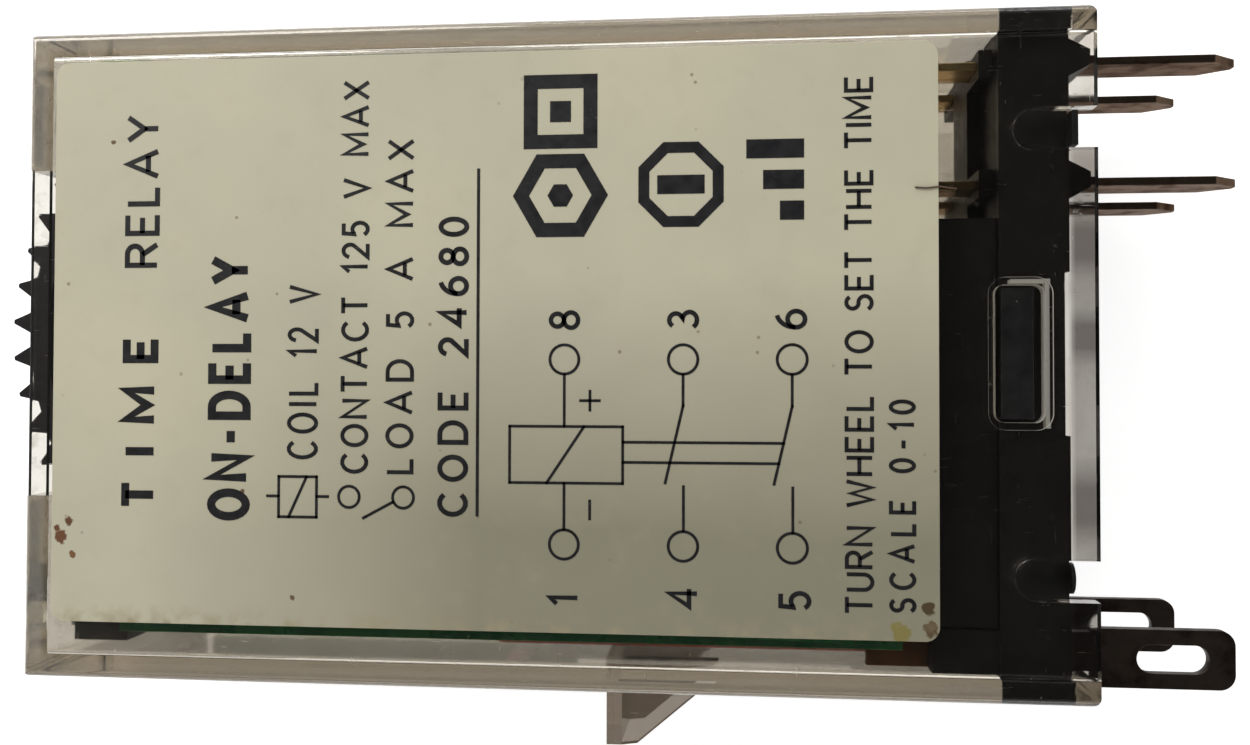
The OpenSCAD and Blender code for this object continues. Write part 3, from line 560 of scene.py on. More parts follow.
SILVER = (0.60, 0.59, 0.56)
BLADE = (0.086, 0.062, 0.046)
BLADE_STAIN = (0.028, 0.017, 0.012)
BLADE_WEAR = {"rough": (0.30, 0.46), "stretch": (0.12, 1, 1), "size": 1.1, "edge": 0.08,
              "grazing": (0.67, 0.56, 0.50)}
BEHIND_BASE = {"X": (-20, -3.87)}
STRIP = (0.66, 0.50, 0.24)
BLACK = (0.0035, 0.0035, 0.0037)
RUBBED = (0.0085, 0.008, 0.008)


def make_looks():
    return {
        "clear_cover": clear_cover(),
        "label_paper": label_paper(),
        "black_plastic": plastic("black_plastic", BLACK, RUBBED, (0.42, 0.58), specks=0.3, edge=0.10,
                                 spec=0.32),
        "wheel_plastic": plastic("wheel_plastic", (0.0065, 0.005, 0.0055), (0.014, 0.011, 0.012),
                                 (0.46, 0.62), specks=0.3, edge=0.08, spec=0.35),
        "blade_metal": metal("blade_metal", BLADE, BLADE_STAIN, zones=[(BEHIND_BASE, STRIP, 0.24)],
                             **BLADE_WEAR),
        # painted shade: a darker copy of the blade metal for the supply blades, which lie in shadow
        "supply_blade_shaded": metal("supply_blade_shaded", (0.055, 0.042, 0.034), (0.018, 0.012, 0.009), (0.40, 0.55),
                              stretch=(0.12, 1, 1), size=1.3, edge=0.05,
                              zones=[(BEHIND_BASE, (0.20, 0.105, 0.055), 0.35)]),
        "inner_blade": metal("inner_blade", BLADE, BLADE_STAIN,
                             zones=[(BEHIND_BASE, STRIP, 0.24),
                                    ({"X": (-8.76, -7.39), "Y": (7.43, 8.5)}, (0.62, 0.42, 0.19), 0.3)],
                             **BLADE_WEAR),
        "contact_metal": metal("contact_metal", (0.86, 0.70, 0.38), (0.55, 0.42, 0.22), (0.14, 0.26),
                               size=0.5, stain_at=(0.55, 0.8)),
        "spring_metal": metal("spring_metal", (0.68, 0.45, 0.20), (0.38, 0.22, 0.10), (0.2, 0.36),
                              stretch=(0.1, 1, 1), size=0.8, edge=0.05),
        "card_plastic": plastic("card_plastic", (0.62, 0.57, 0.45), (0.52, 0.47, 0.36), (0.35, 0.5)),
        "bobbin_plastic": plastic("bobbin_plastic", (0.026, 0.028, 0.032), (0.045, 0.047, 0.05), (0.35, 0.5),
                                  edge=0.08),
        "copper_wire": copper_coil(),
        "coil_tape": plastic("coil_tape", (0.62, 0.40, 0.07), (0.52, 0.31, 0.045), (0.18, 0.32), grain=0.5,
                             depth=0.01, coat=0.5),
        "iron": metal("iron", (0.50, 0.50, 0.49), (0.30, 0.28, 0.24), (0.26, 0.42), stretch=(1, 0.15, 0.15),
                      size=1.5, edge=0.10),
        "board": circuit_board(),
        "tinned_wire": metal("tinned_wire", SILVER, (0.36, 0.33, 0.28), (0.2, 0.34), size=0.5),
        "pot_blue": plastic("pot_blue", (0.025, 0.085, 0.24), (0.040, 0.12, 0.30), (0.32, 0.45)),
        "pot_white": plastic("pot_white", (0.74, 0.70, 0.60), (0.62, 0.58, 0.48), (0.35, 0.5)),
        "carbon": plastic("carbon", (0.012, 0.012, 0.013), (0.03, 0.03, 0.03), (0.5, 0.7)),
        "ceramic_chip": plastic("ceramic_chip", (0.36, 0.22, 0.12), (0.28, 0.16, 0.09), (0.4, 0.6)),
        "dip_plastic": plastic("dip_plastic", (0.014, 0.014, 0.015), (0.03, 0.03, 0.03), (0.35, 0.5),
                               edge=0.06, specks=0.2),
        "slider_plastic": plastic("slider_plastic", (0.76, 0.74, 0.66), (0.66, 0.63, 0.54), (0.35, 0.5)),
        "led_green": lamp("led_green", (0.10, 0.62, 0.16), (0.04, 0.42, 0.09)),
        "led_orange": lamp("led_orange", (0.92, 0.20, 0.04), (0.75, 0.11, 0.02)),
        "tantalum_body": plastic("tantalum_body", (0.62, 0.40, 0.07), (0.52, 0.32, 0.05), (0.3, 0.42),
                                 zones=[({"X": (-35.3, -33.9)}, (0.24, 0.05, 0.02), 0.35, 0.0),
                                        ({"X": (-41, -40.25)}, SILVER, 0.3, 1.0),
                                        ({"X": (-33.72, -33)}, SILVER, 0.3, 1.0)]),
        "resistor_body": resistor(),
        "rectifier_body": plastic("rectifier_body", BLACK, RUBBED, (0.4, 0.55),
                                  zones=[({"Y": (-6.398, -2.402)}, BLACK, 0.45, 0.0),
                                         ({"Y": (-8, -6.402)}, SILVER, 0.28, 1.0),
                                         ({"Y": (-2.398, -1)}, SILVER, 0.28, 1.0),
                                         ({"X": (-31.5, -31.0), "Z": (-2.12, -2)}, (0.6, 0.6, 0.58),
                                          0.5, 0.0)]),
        "transistor_body": plastic("transistor_body", BLACK, RUBBED, (0.4, 0.55),
                                   zones=[({"Y": (4, 5.398)}, SILVER, 0.28, 1.0),
                                          ({"Y": (6.702, 8)}, SILVER, 0.28, 1.0)]),
        "header_pins": plastic("header_pins", (0.62, 0.54, 0.34), (0.5, 0.43, 0.27), (0.24, 0.34),
                               zones=[({"Z": (-6, -4.5)}, (0.66, 0.58, 0.38), 0.26, 1.0),
                                      ({"Z": (-2.898, 6)}, (0.66, 0.58, 0.38), 0.26, 1.0),
                                      ({"Z": (-4.5, -2.898)}, BLACK, 0.42, 0.0)]),
        "wire_jacket": wires(),
        "solder": metal("solder", (0.70, 0.70, 0.70), (0.46, 0.45, 0.42), (0.12, 0.26), size=0.4,
                        depth=0.008),
        "label_ink": ink("label_ink", (0.0095, 0.0085, 0.0105)),
        "dial_print": ink("dial_print", (0.74, 0.73, 0.69), 0.2, 0.5),
        "hair": plastic("hair", (0.10, 0.055, 0.03), (0.05, 0.03, 0.02), (0.5, 0.7)),
        "trace": plastic("trace", (0.040, 0.235, 0.095), (0.055, 0.29, 0.12), (0.2, 0.36), grain=0.2,
                         coat=0.4),
    }


def resistor():
    m = Look("resistor_body")
    base = m.mix(m.spread(m.noise(1.0, 4), 0.3, 0.7), (0.20, 0.32, 0.37), (0.15, 0.26, 0.31))
    for at, colour in ((-37.7, (0.30, 0.10, 0.03)), (-36.6, (0.012, 0.012, 0.013)),
                       (-35.5, (0.62, 0.25, 0.02)), (-33.5, (0.45, 0.30, 0.07))):
        base = m.mix(m.within(X=(at - 0.3, at + 0.3)), base, colour)
    ends = m.math("MAXIMUM", m.within(X=(-41, -38.61)), m.within(X=(-32.39, -30)))
    base = m.mix(ends, base, SILVER)
    m.set("Base Color", base)
    m.set("Metallic", ends)
    m.set("Roughness", m.spread(m.noise(0.5, 3), 0.3, 0.7, 0.22, 0.36))
    m.set("Coat Weight", 0.25)
    m.set("Normal", m.bump(m.noise(0.8, 2), 0.02, 0.5))
    return m.mat


LOOKS = make_looks()
# the supply blades take the darker copy of the blade metal, with painted shade
SPECIAL = {"terminal_1": "supply_blade_shaded", "terminal_8": "supply_blade_shaded", "terminal_3": "inner_blade",
           "terminal_6": "inner_blade", "rectifier": "rectifier_body", "drive_transistor": "transistor_body",
           "board_pins": "header_pins"}
BEVEL = {"cover": 0.10, "base": 0.06, "relay_base": 0.06, "time_wheel": 0.05, "yoke": 0.10, "armature": 0.08,
         "bobbin": 0.06, "core": 0.05, "timer_ic": 0.05, "dip_body": 0.05, "filter_capacitor": 0.12,
         "rectifier": 0.05, "drive_transistor": 0.04, "actuator_card": 0.06, "pot_body": 0.05,
         "pot_rotor": 0.05, "dropper_resistors": 0.06, "supply_wires": 0.0, "label": 0.02,
         "coil_winding": 0.0, "coil_tape": 0.03, "led_leads": 0.0, "coil_pins": 0.0}


def dress_frame():
    slots = {p["node"]: p["material_slot"] for p in frame["record"]["subparts"]}
    for node, obj in frame["nodes"].items():
        look = LOOKS[SPECIAL.get(node, slots[node])]
        if obj.data.materials:
            for i in range(len(obj.data.materials)):
                obj.data.materials[i] = look
        else:
            obj.data.materials.append(look)
        weld = obj.modifiers.new("weld", "WELD")
        weld.merge_threshold = 1e-6
        flat = obj.modifiers.new("flat", "DECIMATE")
        flat.decimate_type = "DISSOLVE"
        flat.angle_limit = math.radians(0.6)
        width = BEVEL.get(node, 0.04)
        if node.startswith("terminal"):
            width = 0.06
        if node.startswith("dip_slider"):
            width = 0.05
        if width:
            bevel = obj.modifiers.new("bevel", "BEVEL")
            bevel.width = width * MM
            bevel.segments = 2
            bevel.limit_method = "ANGLE"
            bevel.angle_limit = math.radians(38)
            bevel.harden_normals = True
            bevel.miter_outer = "MITER_ARC"
        normal = obj.modifiers.new("normals", "WEIGHTED_NORMAL")
        normal.weight = 70


# ---------- mesh helpers (millimetres in the row frame) ----------

class Shape:
    def __init__(self):
        self.bm = bmesh.new()

    def prism(self, points, z0, z1):
        low = [self.bm.verts.new((x * MM, y * MM, z0 * MM)) for x, y in points]
        top = [self.bm.verts.new((x * MM, y * MM, z1 * MM)) for x, y in points]
        n = len(points)
        self.bm.faces.new(low[::-1])
        self.bm.faces.new(top)
        for i in range(n):
            self.bm.faces.new((low[i], low[(i + 1) % n], top[(i + 1) % n], top[i]))
        return low + top

    def box(self, x0, x1, y0, y1, z0, z1):
        return self.prism([(x0, y0), (x1, y0), (x1, y1), (x0, y1)], z0, z1)

    def stroke(self, x0, y0, x1, y1, width, z0, z1):
        d = Vector((x1 - x0, y1 - y0)).normalized() * width / 2
        s = Vector((-d.y, d.x))
        a, b = Vector((x0, y0)) - d, Vector((x1, y1)) + d
        return self.prism([(a - s)[:], (b - s)[:], (b + s)[:], (a + s)[:]], z0, z1)

    def ring(self, cx, cy, r0, r1, z0, z1, sides=40, turn=0.0):
        """A flat ring, or a disc if r0 is 0."""
        def circle(r):
            return [(cx + r * math.cos(turn + i * math.tau / sides),
                     cy + r * math.sin(turn + i * math.tau / sides)) for i in range(sides)]

        def loop(r, z):
            return [self.bm.verts.new((x * MM, y * MM, z * MM)) for x, y in circle(r)]

        if not r0:
            return self.prism(circle(r1), z0, z1)
        a, b, c, d = loop(r0, z0), loop(r1, z0), loop(r1, z1), loop(r0, z1)
        for i in range(sides):
            j = (i + 1) % sides
            for p, q in ((a, b), (b, c), (c, d), (d, a)):
                self.bm.faces.new((p[i], p[j], q[j], q[i]))
        return a + b + c + d

    def dome(self, x, y, z, r, h, up=1, sides=20, rows=4):
        """A closed low dome of solder standing on a plane."""
        rings = []
        for k in range(rows):
            t = k / rows
            rr, zz = r * math.cos(t * math.pi / 2), z + up * h * math.sin(t * math.pi / 2)
            rings.append([self.bm.verts.new(((x + rr * math.cos(i * math.tau / sides)) * MM,
                                             (y + rr * math.sin(i * math.tau / sides)) * MM, zz * MM))
                          for i in range(sides)])
        tip = self.bm.verts.new((x * MM, y * MM, (z + up * h) * MM))
        self.bm.faces.new(rings[0] if up < 0 else rings[0][::-1])
        for a, b in zip(rings, rings[1:]):
            for i in range(sides):
                j = (i + 1) % sides
                self.bm.faces.new((a[i], a[j], b[j], b[i]) if up > 0 else (a[j], a[i], b[i], b[j]))
        for i in range(sides):
            j = (i + 1) % sides
            a = rings[-1]
            self.bm.faces.new((a[i], a[j], tip) if up > 0 else (a[j], a[i], tip))

    def lathe_x(self, profile, cy, cz, sides=64):
        """Turns a closed outline of (x, radius) about an axis along X."""
        rings = [[self.bm.verts.new((x * MM, (cy + r * math.cos(i * math.tau / sides)) * MM,
                                     (cz + r * math.sin(i * math.tau / sides)) * MM)) for i in range(sides)]
                 for x, r in profile]
        for a, b in zip(rings, rings[1:] + rings[:1]):
            for i in range(sides):
                j = (i + 1) % sides
                self.bm.faces.new((a[i], a[j], b[j], b[i]))

    def tube(self, points, r, sides=10):
        """A round wire along points, with closed ends."""
        pts = [Vector(p) for p in points]
        rings = []
        side = None
        for i, p in enumerate(pts):
            along = (pts[min(i + 1, len(pts) - 1)] - pts[max(i - 1, 0)]).normalized()
            if side is None:
                side = along.orthogonal().normalized()
            side = (side - along * side.dot(along)).normalized()
            up = along.cross(side)
            rings.append([self.bm.verts.new((p + side * r * math.cos(k * math.tau / sides)
                                             + up * r * math.sin(k * math.tau / sides)) * MM)
                          for k in range(sides)])
        for a, b in zip(rings, rings[1:]):
            for k in range(sides):
                j = (k + 1) % sides
                self.bm.faces.new((a[k], a[j], b[j], b[k]))
        self.bm.faces.new(rings[0][::-1])
        self.bm.faces.new(rings[-1])

    def ribbon(self, points, width, place):
        """A pen stroke of even width along flat points; place() sends (u, v, depth 0 to 1) to millimetres."""
        pts = [Vector(p) for p in points]
        closed = (pts[0] - pts[-1]).length < 1e-6
        if closed:
            pts = pts[:-1]
        n = len(pts)
        rows = []
        for k, p in enumerate(pts):
            before = pts[k - 1] if k or closed else p - (pts[1] - p)
            after = pts[(k + 1) % n] if k < n - 1 or closed else p + (p - pts[k - 1])
            a, b = (p - before).normalized(), (after - p).normalized()
            mid = Vector((-(a.y + b.y), a.x + b.x))
            mid = mid.normalized() if mid.length > 1e-6 else Vector((-a.y, a.x))
            reach = width / 2 / max(0.45, mid.dot(Vector((-a.y, a.x))))
            rows.append([self.bm.verts.new(Vector(place(*(p + mid * side * reach), depth)) * MM)
                         for side, depth in ((1, 0), (-1, 0), (-1, 1), (1, 1))])
        for k in range(n if closed else n - 1):
            a, b = rows[k], rows[(k + 1) % n]
            for e in range(4):
                f = (e + 1) % 4
                self.bm.faces.new((a[e], a[f], b[f], b[e]))
        if not closed:
            self.bm.faces.new(rows[0][::-1])
            self.bm.faces.new(rows[-1])

    def piece(self, name, slot_name, body="root", look=None, bevel=0.0, smooth=False, replaces=None):
        bmesh.ops.recalc_face_normals(self.bm, faces=self.bm.faces)
        mesh = bpy.data.meshes.new(name)
        self.bm.to_mesh(mesh)
        self.bm.free()
        obj = bpy.data.objects.new(name, mesh)
        scene.collection.objects.link(obj)
        mesh.materials.append(LOOKS[look or slot_name])
        if smooth:
            for p in mesh.polygons:
                p.use_smooth = True
        if bevel:
            b = obj.modifiers.new("bevel", "BEVEL")
            b.width = bevel * MM
            b.segments = 2
            b.limit_method = "ANGLE"
            b.angle_limit = math.radians(40)
            for p in mesh.polygons:
                p.use_smooth = True
            obj.modifiers.new("normals", "WEIGHTED_NORMAL").weight = 70
        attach(obj, body)
        if replaces:
            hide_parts(*replaces)
        return obj


def arc(cx, cy, rx, ry, a0, a1, n=14):
    return [(cx + rx * math.cos(math.radians(a0 + (a1 - a0) * k / n)),
             cy + ry * math.sin(math.radians(a0 + (a1 - a0) * k / n))) for k in range(n + 1)]


# Plain pen-stroke letters, 1 unit high: width and strokes
GLYPHS = {
    " ": (0.34, []),
    "-": (0.40, [[(0, 0.45), (0.40, 0.45)]]),
    "A": (0.80, [[(0, 0), (0.40, 1), (0.80, 0)], [(0.14, 0.32), (0.66, 0.32)]]),
    "C": (0.76, [arc(0.42, 0.5, 0.42, 0.5, 42, 318)]),
    "D": (0.74, [[(0, 0), (0, 1), (0.30, 1)] + arc(0.32, 0.5, 0.42, 0.5, 80, -80) + [(0.30, 0), (0, 0)]]),
    "E": (0.58, [[(0.58, 0), (0, 0), (0, 1), (0.58, 1)], [(0, 0.5), (0.50, 0.5)]]),
    "H": (0.70, [[(0, 0), (0, 1)], [(0.70, 0), (0.70, 1)], [(0, 0.5), (0.70, 0.5)]]),
    "I": (0.02, [[(0.01, 0), (0.01, 1)]]),
    "L": (0.52, [[(0, 1), (0, 0), (0.52, 0)]]),
    "M": (0.86, [[(0, 0), (0, 1), (0.43, 0.22), (0.86, 1), (0.86, 0)]]),
    "N": (0.70, [[(0, 0), (0, 1), (0.70, 0), (0.70, 1)]]),
    "O": (0.84, [arc(0.42, 0.5, 0.42, 0.5, 0, 360, 24)]),
    "R": (0.66, [[(0, 0), (0, 1), (0.34, 1)] + arc(0.36, 0.745, 0.26, 0.255, 75, -75, 10)
                 + [(0.34, 0.49), (0, 0.49)],
                 [(0.34, 0.49), (0.66, 0)]]),
    "S": (0.60, [arc(0.31, 0.755, 0.27, 0.245, 28, 262, 12) + arc(0.29, 0.265, 0.30, 0.265, 82, -152, 12)]),
    "T": (0.68, [[(0, 1), (0.68, 1)], [(0.34, 1), (0.34, 0)]]),
    "U": (0.66, [[(0, 1), (0, 0.33)] + arc(0.33, 0.33, 0.33, 0.33, 190, 350, 12)
                 + [(0.66, 0.33), (0.66, 1)]]),
    "V": (0.74, [[(0, 1), (0.37, 0), (0.74, 1)]]),
    "W": (1.04, [[(0, 1), (0.26, 0), (0.52, 0.85), (0.78, 0), (1.04, 1)]]),
    "X": (0.70, [[(0, 0), (0.70, 1)], [(0, 1), (0.70, 0)]]),
    "Y": (0.74, [[(0, 1), (0.37, 0.46), (0.74, 1)], [(0.37, 0.46), (0.37, 0)]]),
    "0": (0.58, [arc(0.29, 0.5, 0.29, 0.5, 0, 360, 24)]),
    "1": (0.24, [[(0, 0.76), (0.22, 1), (0.22, 0)]]),
    "2": (0.56, [arc(0.28, 0.72, 0.27, 0.28, 170, -30, 14) + [(0, 0), (0.57, 0)]]),
    "3": (0.56, [arc(0.27, 0.76, 0.24, 0.24, 150, -80, 12) + arc(0.27, 0.265, 0.29, 0.265, 80, -150, 12)]),
    "4": (0.62, [[(0.46, 0), (0.46, 1), (0, 0.28), (0.62, 0.28)]]),
    "5": (0.56, [[(0.52, 1), (0.09, 1), (0.05, 0.56)] + arc(0.27, 0.32, 0.28, 0.32, 128, -148, 14)]),
    "6": (0.58, [arc(0.29, 0.31, 0.29, 0.31, 0, 360, 20), arc(0.52, 0.34, 0.52, 0.66, 180, 100, 10)]),
    "7": (0.54, [[(0, 1), (0.54, 1), (0.16, 0)]]),
    "8": (0.56, [arc(0.28, 0.76, 0.235, 0.24, 0, 360, 18), arc(0.28, 0.26, 0.28, 0.26, 0, 360, 20)]),
    "9": (0.58, [arc(0.29, 0.69, 0.29, 0.31, 0, 360, 20), arc(0.06, 0.66, 0.52, 0.66, 0, -80, 10)]),
}


def write(shape, text, height, pen, place, room=None, gap=0.28, wide=1.0):
    """Writes a line in strokes of even width. With room, the gaps are set so that the line fills it."""
    tall = height - pen
    total = sum(GLYPHS[c][0] for c in text) * tall * wide + pen * len(text)
    step = gap * height if room is None else (room - total) / max(1, len(text) - 1)
    if room is None:
        room = total + step * (len(text) - 1)
    u = -room / 2
    for c in text:
        width, strokes = GLYPHS[c]
        for points in strokes:
            shape.ribbon([(u + pen / 2 + x * tall * wide, pen / 2 + y * tall) for x, y in points], pen, place)
        u += width * tall * wide + pen + step


# ---------- label ----------

def label_text(shape, text, x_top, x_base, y0, y1, pen=0.17, wide=1.0):
    """A line of text along +Y with the letters' tops towards -X, filling that room."""
    z0, z1 = INK_Z
    write(shape, text, x_base - x_top, pen,
          lambda u, v, d: (x_base - v, (y0 + y1) / 2 + u, z0 + (z1 - z0) * d), y1 - y0, wide=wide)


def print_words():
    s = Shape()
    label_text(s, "TIME", -41.75, -40.1, -6.9, 0.8, 0.36, 1.15)
    label_text(s, "RELAY", -41.7, -40.1, 3.8, 10.6, 0.23, 1.0)
    label_text(s, "ON-DELAY", -37.8, -35.85, -7.3, 4.3, 0.37, 0.78)
    label_text(s, "COIL 12 V", -34.2, -32.8, -4.6, 3.0, 0.17, 0.72)
    label_text(s, "CONTACT 125 V MAX", -31.8, -30.55, -5.2, 11.9, 0.17, 0.92)
    label_text(s, "LOAD 5 A MAX", -29.8, -28.55, -5.2, 9.3, 0.17, 1.0)
    label_text(s, "CODE 24680", -27.5, -26.15, -7.0, 5.9, 0.21, 1.0)
    label_text(s, "TURN WHEEL TO SET THE TIME", -10.25, -9.05, -10.8, 11.6, 0.16, 0.92)
    label_text(s, "SCALE 0-10", -8.45, -7.35, -10.7, -1.9, 0.16, 0.85)
    for k, x in (("8", -22.0), ("3", -16.95), ("6", -12.45)):
        label_text(s, k, x - 0.68, x + 0.68, 1.0, 2.0, 0.19)
    for k, x in (("1", -22.0), ("4", -16.95), ("5", -12.3)):
        label_text(s, k, x - 0.68, x + 0.68, -10.7, -9.7, 0.19)
    s.piece("label_words", "label_ink")


def print_diagram():
    s = Shape()
    z = INK_Z
    w = 0.115

    def line(x0, y0, x1, y1, width=w):
        s.stroke(x0, y0, x1, y1, width, *z)

    for x in (-22.0, -16.95, -12.4):
        for y in (-0.25, -8.1):
            s.ring(x, y, 0.56, 0.68, *z)
    # coil
    for a in ((-24.35, -5.5, -19.5, -5.5), (-24.35, -3.1, -19.5, -3.1), (-24.35, -5.5, -24.35, -3.1),
              (-19.5, -5.5, -19.5, -3.1), (-22.75, -5.5, -21.15, -3.1),
              (-22.0, -3.1, -22.0, -0.9), (-22.0, -5.5, -22.0, -7.45)):
        line(*a)
    line(-21.3, -2.0, -20.5, -2.0)
    line(-20.9, -2.4, -20.9, -1.6)
    line(-20.9, -7.0, -20.9, -6.25)
    # linked contacts
    line(-19.5, -3.75, -12.75, -3.75)
    line(-19.5, -4.6, -12.95, -4.6)
    for x in (-16.95, -12.4):
        line(x, -0.9, x, -2.2)
        line(x, -2.2, x - 0.75, -5.45)
        line(x + 0.02, -5.6, x + 0.02, -7.45)
    # rating symbols
    for a in ((-34.55, -7.1, -32.85, -7.1), (-34.55, -5.35, -32.85, -5.35), (-34.55, -7.1, -34.55, -5.35),
              (-32.85, -7.1, -32.85, -5.35), (-34.1, -7.1, -33.3, -5.35), (-35.05, -6.2, -34.55, -6.2),
              (-32.85, -6.2, -32.35, -6.2)):
        line(*a, 0.12)
    s.ring(-31.4, -6.2, 0.40, 0.52, *z)
    s.ring(-29.0, -6.2, 0.40, 0.52, *z)
    line(-29.45, -6.4, -30.75, -7.1, 0.12)
    line(-25.75, -6.9, -25.75, 7.9, 0.13)
    s.piece("label_diagram", "label_ink")


def label_hair():
    """A fibre caught on the label's edge."""
    s = Shape()
    x1 = LABEL[1].x
    points = [(x1 - 0.95, 6.88), (x1 - 0.5, 6.84), (x1 + 0.05, 6.90), (x1 + 0.45, 6.83), (x1 + 0.75, 6.80)]
    z = LABEL[1].z
    s.tube([(x, y, z + 0.03 + 0.02 * (k % 2)) for k, (x, y) in enumerate(points)], 0.035, 8)
    s.piece("label_hair", "label_ink", look="hair", smooth=True)


def print_marks():
    """Plain bold shapes where the original carries approval marks."""
    s = Shape()
    z = INK_Z
    s.ring(-22.2, 6.75, 1.35, 2.05, *z, sides=6)
    s.ring(-22.2, 6.75, 0, 0.55, *z, sides=6)
    s.ring(-22.2, 10.35, 1.40, 2.25, *z, sides=4, turn=math.pi / 4)
    s.box(-22.65, -21.75, 9.9, 10.8, *z)
    s.ring(-17.05, 7.15, 1.45, 1.95, *z, sides=8, turn=math.pi / 8)
    s.box(-18.05, -16.05, 6.75, 7.55, *z)
    s.box(-14.3, -11.9, 8.2, 9.0, *z)
    s.box(-13.6, -11.9, 6.9, 7.7, *z)
    s.box(-12.9, -11.9, 5.6, 6.4, *z)
    s.piece("label_marks", "label_ink")


# ---------- time wheel ----------

def wheel_scale():
    s = Shape()
    cx, cy = ((WHEEL[0].x + WHEEL[1].x) / 2, (WHEEL[0].y + WHEEL[1].y) / 2)
    r = 11.2
    z0, z1 = -0.35, 1.15
    for k in range(11):
        at = math.radians(180 - (k - 5) * 27)

        def wrap(u, v, d, at=at):
            a, rr = at + u / r, r - 0.03 + 0.06 * d
            return (cx + rr * math.cos(a), cy + rr * math.sin(a), z0 + v)
        write(s, str(k), z1 - z0, 0.2, wrap)
    for k in range(20):
        if k % 2 == 0:
            continue
        a = math.radians(180 - (k / 2 - 5) * 27)
        c, n = math.cos(a), math.sin(a)
        corners = []
        for rr in (r - 0.03, r + 0.03):
            for t in (-0.09, 0.09):
                corners.append((cx + rr * c - t * n, cy + rr * n + t * c))
        s.prism([corners[0], corners[2], corners[3], corners[1]], 0.0, 0.9)
    s.piece("wheel_scale", "dial_print", "wheel")


# ---------- inside ----------

def wound_coil():
    """The winding with the turns of its outer layer in relief."""
    s = Shape()
    x0, x1 = WINDING[0].x, WINDING[1].x
    cy = (WINDING[0].y + WINDING[1].y) / 2
    outer, inner = (WINDING[1].y - WINDING[0].y) / 2, 2.36
    turns = round((x1 - x0) / 0.16)
    profile = []
    for i in range(turns * 4 + 1):
        t = i / (turns * 4)
        profile.append((x0 + (x1 - x0) * t, outer - 0.05 * (1 - abs(math.sin(math.pi * t * turns)))))
    profile += [(x1, inner), (x0, inner)]
    s.lathe_x(profile, cy, 0, 56)
    s.piece("coil_turns", "copper_wire", smooth=False, replaces=["coil_winding"])


def coil_lead_wires():
    s = Shape()
    pins = lo_hi("coil_pins")
    px = (pins[0].x + pins[1].x) / 2
    for y in (pins[0].y + 0.23, pins[1].y - 0.23):
        inward = 1 if y < WINDING[0].y + 4 else -1
        pts = [(px + 0.31 * math.cos(a), y + 0.31 * math.sin(a), 4.22 + 0.2 * a / (4 * math.pi))
               for a in [i * math.pi / 8 for i in range(33)]]
        lead = [(px + 1.1, y + inward * 1.5, 3.1), (px + 0.95, y + inward * 0.9, 3.7),
                (px + 0.7, y + inward * 0.4, 4.1), (px + 0.45, y + 0.1 * inward, 4.2)]
        s.tube(lead + pts, 0.055, 8)
    s.piece("coil_lead_wires", "copper_wire", smooth=True)


POWER_TRACES = [
    [(-24.4, -11.2), (-26.5, -11.2), (-28.2, -9.5), (-28.2, -7.0)],
    [(-24.4, -9.93), (-25.6, -9.93), (-30.0, -9.0), (-30.0, -7.0)],
    [(-24.4, -8.66), (-24.4, -4.0), (-25.8, -2.2), (-27.6, -2.2)],
    [(-24.4, -7.39), (-23.6, -6.4), (-23.6, 3.0), (-27.2, 6.9)],
    [(-30.0, -2.0), (-31.8, -0.2), (-33.0, -0.2), (-33.0, -4.6)],
    [(-40.9, -4.6), (-41.4, -3.9), (-41.4, 3.4), (-39.4, 5.0)],
    [(-39.4, 5.0), (-40.6, 6.7), (-39.4, 8.4)],
    [(-31.6, 5.0), (-30.6, 5.0), (-28.1, 5.1)],
    [(-31.6, 8.4), (-29.5, 8.4), (-27.1, 7.1)],
    [(-25.2, -12.0), (-33.0, -12.0), (-38.0, -10.6), (-40.6, -8.4), (-40.6, -4.6)],
    [(-23.6, -12.0), (-23.4, -11.4)],
    [(-41.9, 12.15), (-38.5, 11.2), (-31.0, 11.2), (-26.2, 7.4), (-26.2, 5.2)],
    [(-41.9, 12.7), (-36.0, 12.7), (-24.4, 12.4), (-23.4, 9.0), (-23.4, 4.2)],
    [(-37.4, -4.0), (-37.4, 1.6), (-35.0, 3.2), (-31.6, 3.2), (-31.6, 5.0)],
]


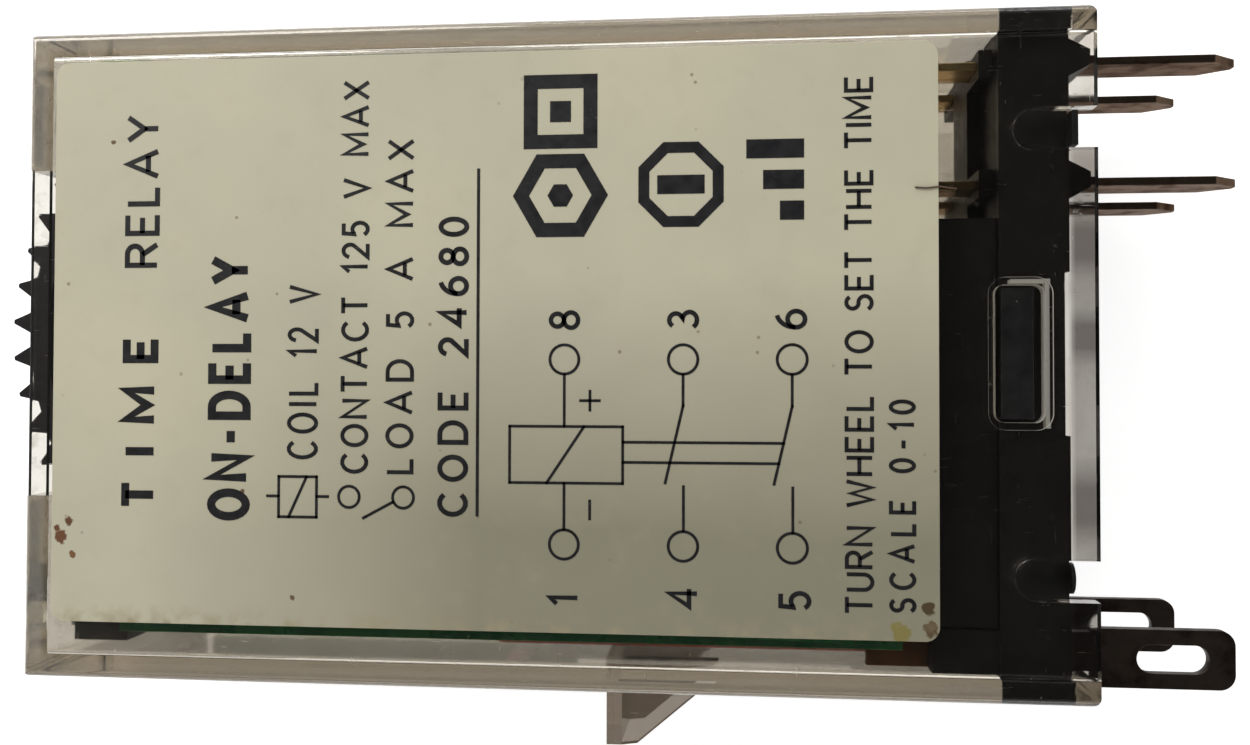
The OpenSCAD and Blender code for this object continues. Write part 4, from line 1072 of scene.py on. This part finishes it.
def board_copper():
    """Raised tracks on the outer faces of both boards, and solder joints on the power board's outer face."""
    low = POWER[0].z
    s = Shape()
    for path in POWER_TRACES:
        for (x0, y0), (x1, y1) in zip(path, path[1:]):
            s.stroke(x0, y0, x1, y1, 0.42, low - 0.035, low + 0.01)
    s.piece("power_board_tracks", "board", look="trace", bevel=0.012)

    s = Shape()
    for path in ([(-41.9, 12.2), (-38.0, 12.2), (-36.0, 10.2), (-30.0, 10.2)],
                 [(-41.5, -11.8), (-30.0, -11.8), (-26.0, -11.8)],
                 [(-24.4, -11.2), (-20.0, -11.2), (-18.4, -9.6)],
                 [(-24.4, -8.7), (-21.0, -6.0), (-18.4, -2.2)],
                 [(-41.6, 9.0), (-41.6, -9.0), (-39.6, -11.0), (-10.0, -12.0)],
                 [(-22.0, 12.6), (-9.0, 12.6), (-8.6, 4.0)]):
        for (x0, y0), (x1, y1) in zip(path, path[1:]):
            s.stroke(x0, y0, x1, y1, 0.4, CONTROL[1].z - 0.01, CONTROL[1].z + 0.035)
    s.piece("control_board_tracks", "board", look="trace", bevel=0.012)

    s = Shape()
    joints = [(-24.4, -11.2 + i * 1.27) for i in range(4)]
    joints += [(-39.4, 5.0), (-31.6, 5.0), (-39.4, 8.4), (-31.6, 8.4), (-30.0, -6.9), (-28.0, -6.9),
               (-30.0, -2.1), (-28.0, -2.1), (-40.9, -4.6), (-33.0, -4.6), (-28.1, 5.1), (-26.2, 5.1),
               (-27.15, 6.95)]
    for x, y in joints:
        s.dome(x, y, low - 0.002, 0.62, 0.15, up=-1)
    for y in (12.15, 12.72):
        s.dome(-41.85, y, low - 0.002, 0.27, 0.14, up=-1)
    for x in (-25.2, -23.6):
        s.dome(x, -12.0, low - 0.002, 0.5, 0.15, up=-1)
    s.piece("power_board_solder", "solder", smooth=True)


def chip_ends():
    s = Shape()
    z1 = CONTROL[0].z
    cx, cy = (WHEEL[0].x + WHEEL[1].x) / 2, (WHEEL[0].y + WHEEL[1].y) / 2
    small = [(cx - 4.5 + i * 3, cy + 6.4, 0.5) for i in range(4)] + [(-25.4, 11.2, 0.5), (-22.8, 11.2, 0.5)]
    tall = [(cx - 6.4, cy - 1.6, 0.9), (cx + 6.4, cy + 1.6, 0.9), (-24.8, 9.6, 0.9)]
    for x, y, h in small + tall:
        for side in (-1, 1):
            a, b = sorted((x + side * 0.62, x + side * 0.97))
            s.box(a, b, y - 0.62, y + 0.62, z1 - h - 0.02, z1 - 0.005)
    s.piece("chip_end_caps", "solder", bevel=0.03)

    s = Shape()
    ic = lo_hi("timer_ic")
    s.ring(ic[0].x + 0.75, ic[0].y + 0.75, 0.22, 0.32, ic[0].z - 0.012, ic[0].z + 0.01, sides=24)
    for i in range(3):
        s.box(ic[0].x + 1.6, ic[1].x - 0.9 - 0.5 * i, ic[0].y + 1.1 + i * 0.75, ic[0].y + 1.25 + i * 0.75,
              ic[0].z - 0.012, ic[0].z + 0.01)
    s.piece("chip_print", "dial_print")


def silkscreen():
    """White outlines round the parts on the power board's component side, and on its outer face."""
    s = Shape()
    up, low = (POWER[1].z - 0.005, POWER[1].z + 0.02), (POWER[0].z - 0.02, POWER[0].z + 0.005)

    def frame_of(x0, x1, y0, y1, z, w=0.14):
        s.box(x0, x1, y0, y0 + w, *z)
        s.box(x0, x1, y1 - w, y1, *z)
        s.box(x0, x0 + w, y0 + w, y1 - w, *z)
        s.box(x1 - w, x1, y0 + w, y1 - w, *z)
    frame_of(-41.3, -32.8, -7.3, -2.0, up)
    frame_of(-31.9, -26.1, -7.4, -1.5, up)
    frame_of(-39.2, -31.8, 3.5, 6.5, up)
    frame_of(-39.2, -31.8, 6.9, 9.9, up)
    frame_of(-25.3, -23.5, -12.1, -6.5, low)
    frame_of(-36.5, -33.6, 6.0, 7.4, low)
    s.piece("board_outlines", "dial_print")


def switch_marks():
    """Numbers beside the range switches."""
    body = lo_hi("dip_body")
    s = Shape()
    x = body[0].x
    for i, n in enumerate("4321"):
        # read from the wheel end with the label to the right
        write(s, n, 0.62, 0.10, lambda u, v, d, z=-3.65 + 1.95 * i: (
            x + 0.015 - d * 0.03, body[0].y + 0.08 + v, z + u))
    s.piece("switch_numbers", "dial_print")


def base_numbers():
    """Raised terminal numbers on the face that plugs in."""
    s = Shape()
    face = -1.0
    for text, y, z in (("1", -9.9, 4.35), ("8", -9.9, -4.35), ("3", 9.3, 3.4), ("6", 9.3, -3.4),
                       ("4", 11.0, 1.0), ("5", 11.0, -1.0)):
        write(s, text, 1.0, 0.16, lambda u, v, d, y=y, z=z: (face - 0.02 + 0.14 * d, y + u, z - 0.5 + v))
    s.piece("terminal_numbers", "black_plastic")


add_camera()
add_lights()
add_floor()
dress_frame()
print_words()
print_diagram()
print_marks()
label_hair()
wheel_scale()
wound_coil()
coil_lead_wires()
board_copper()
chip_ends()
silkscreen()
switch_marks()
base_numbers()
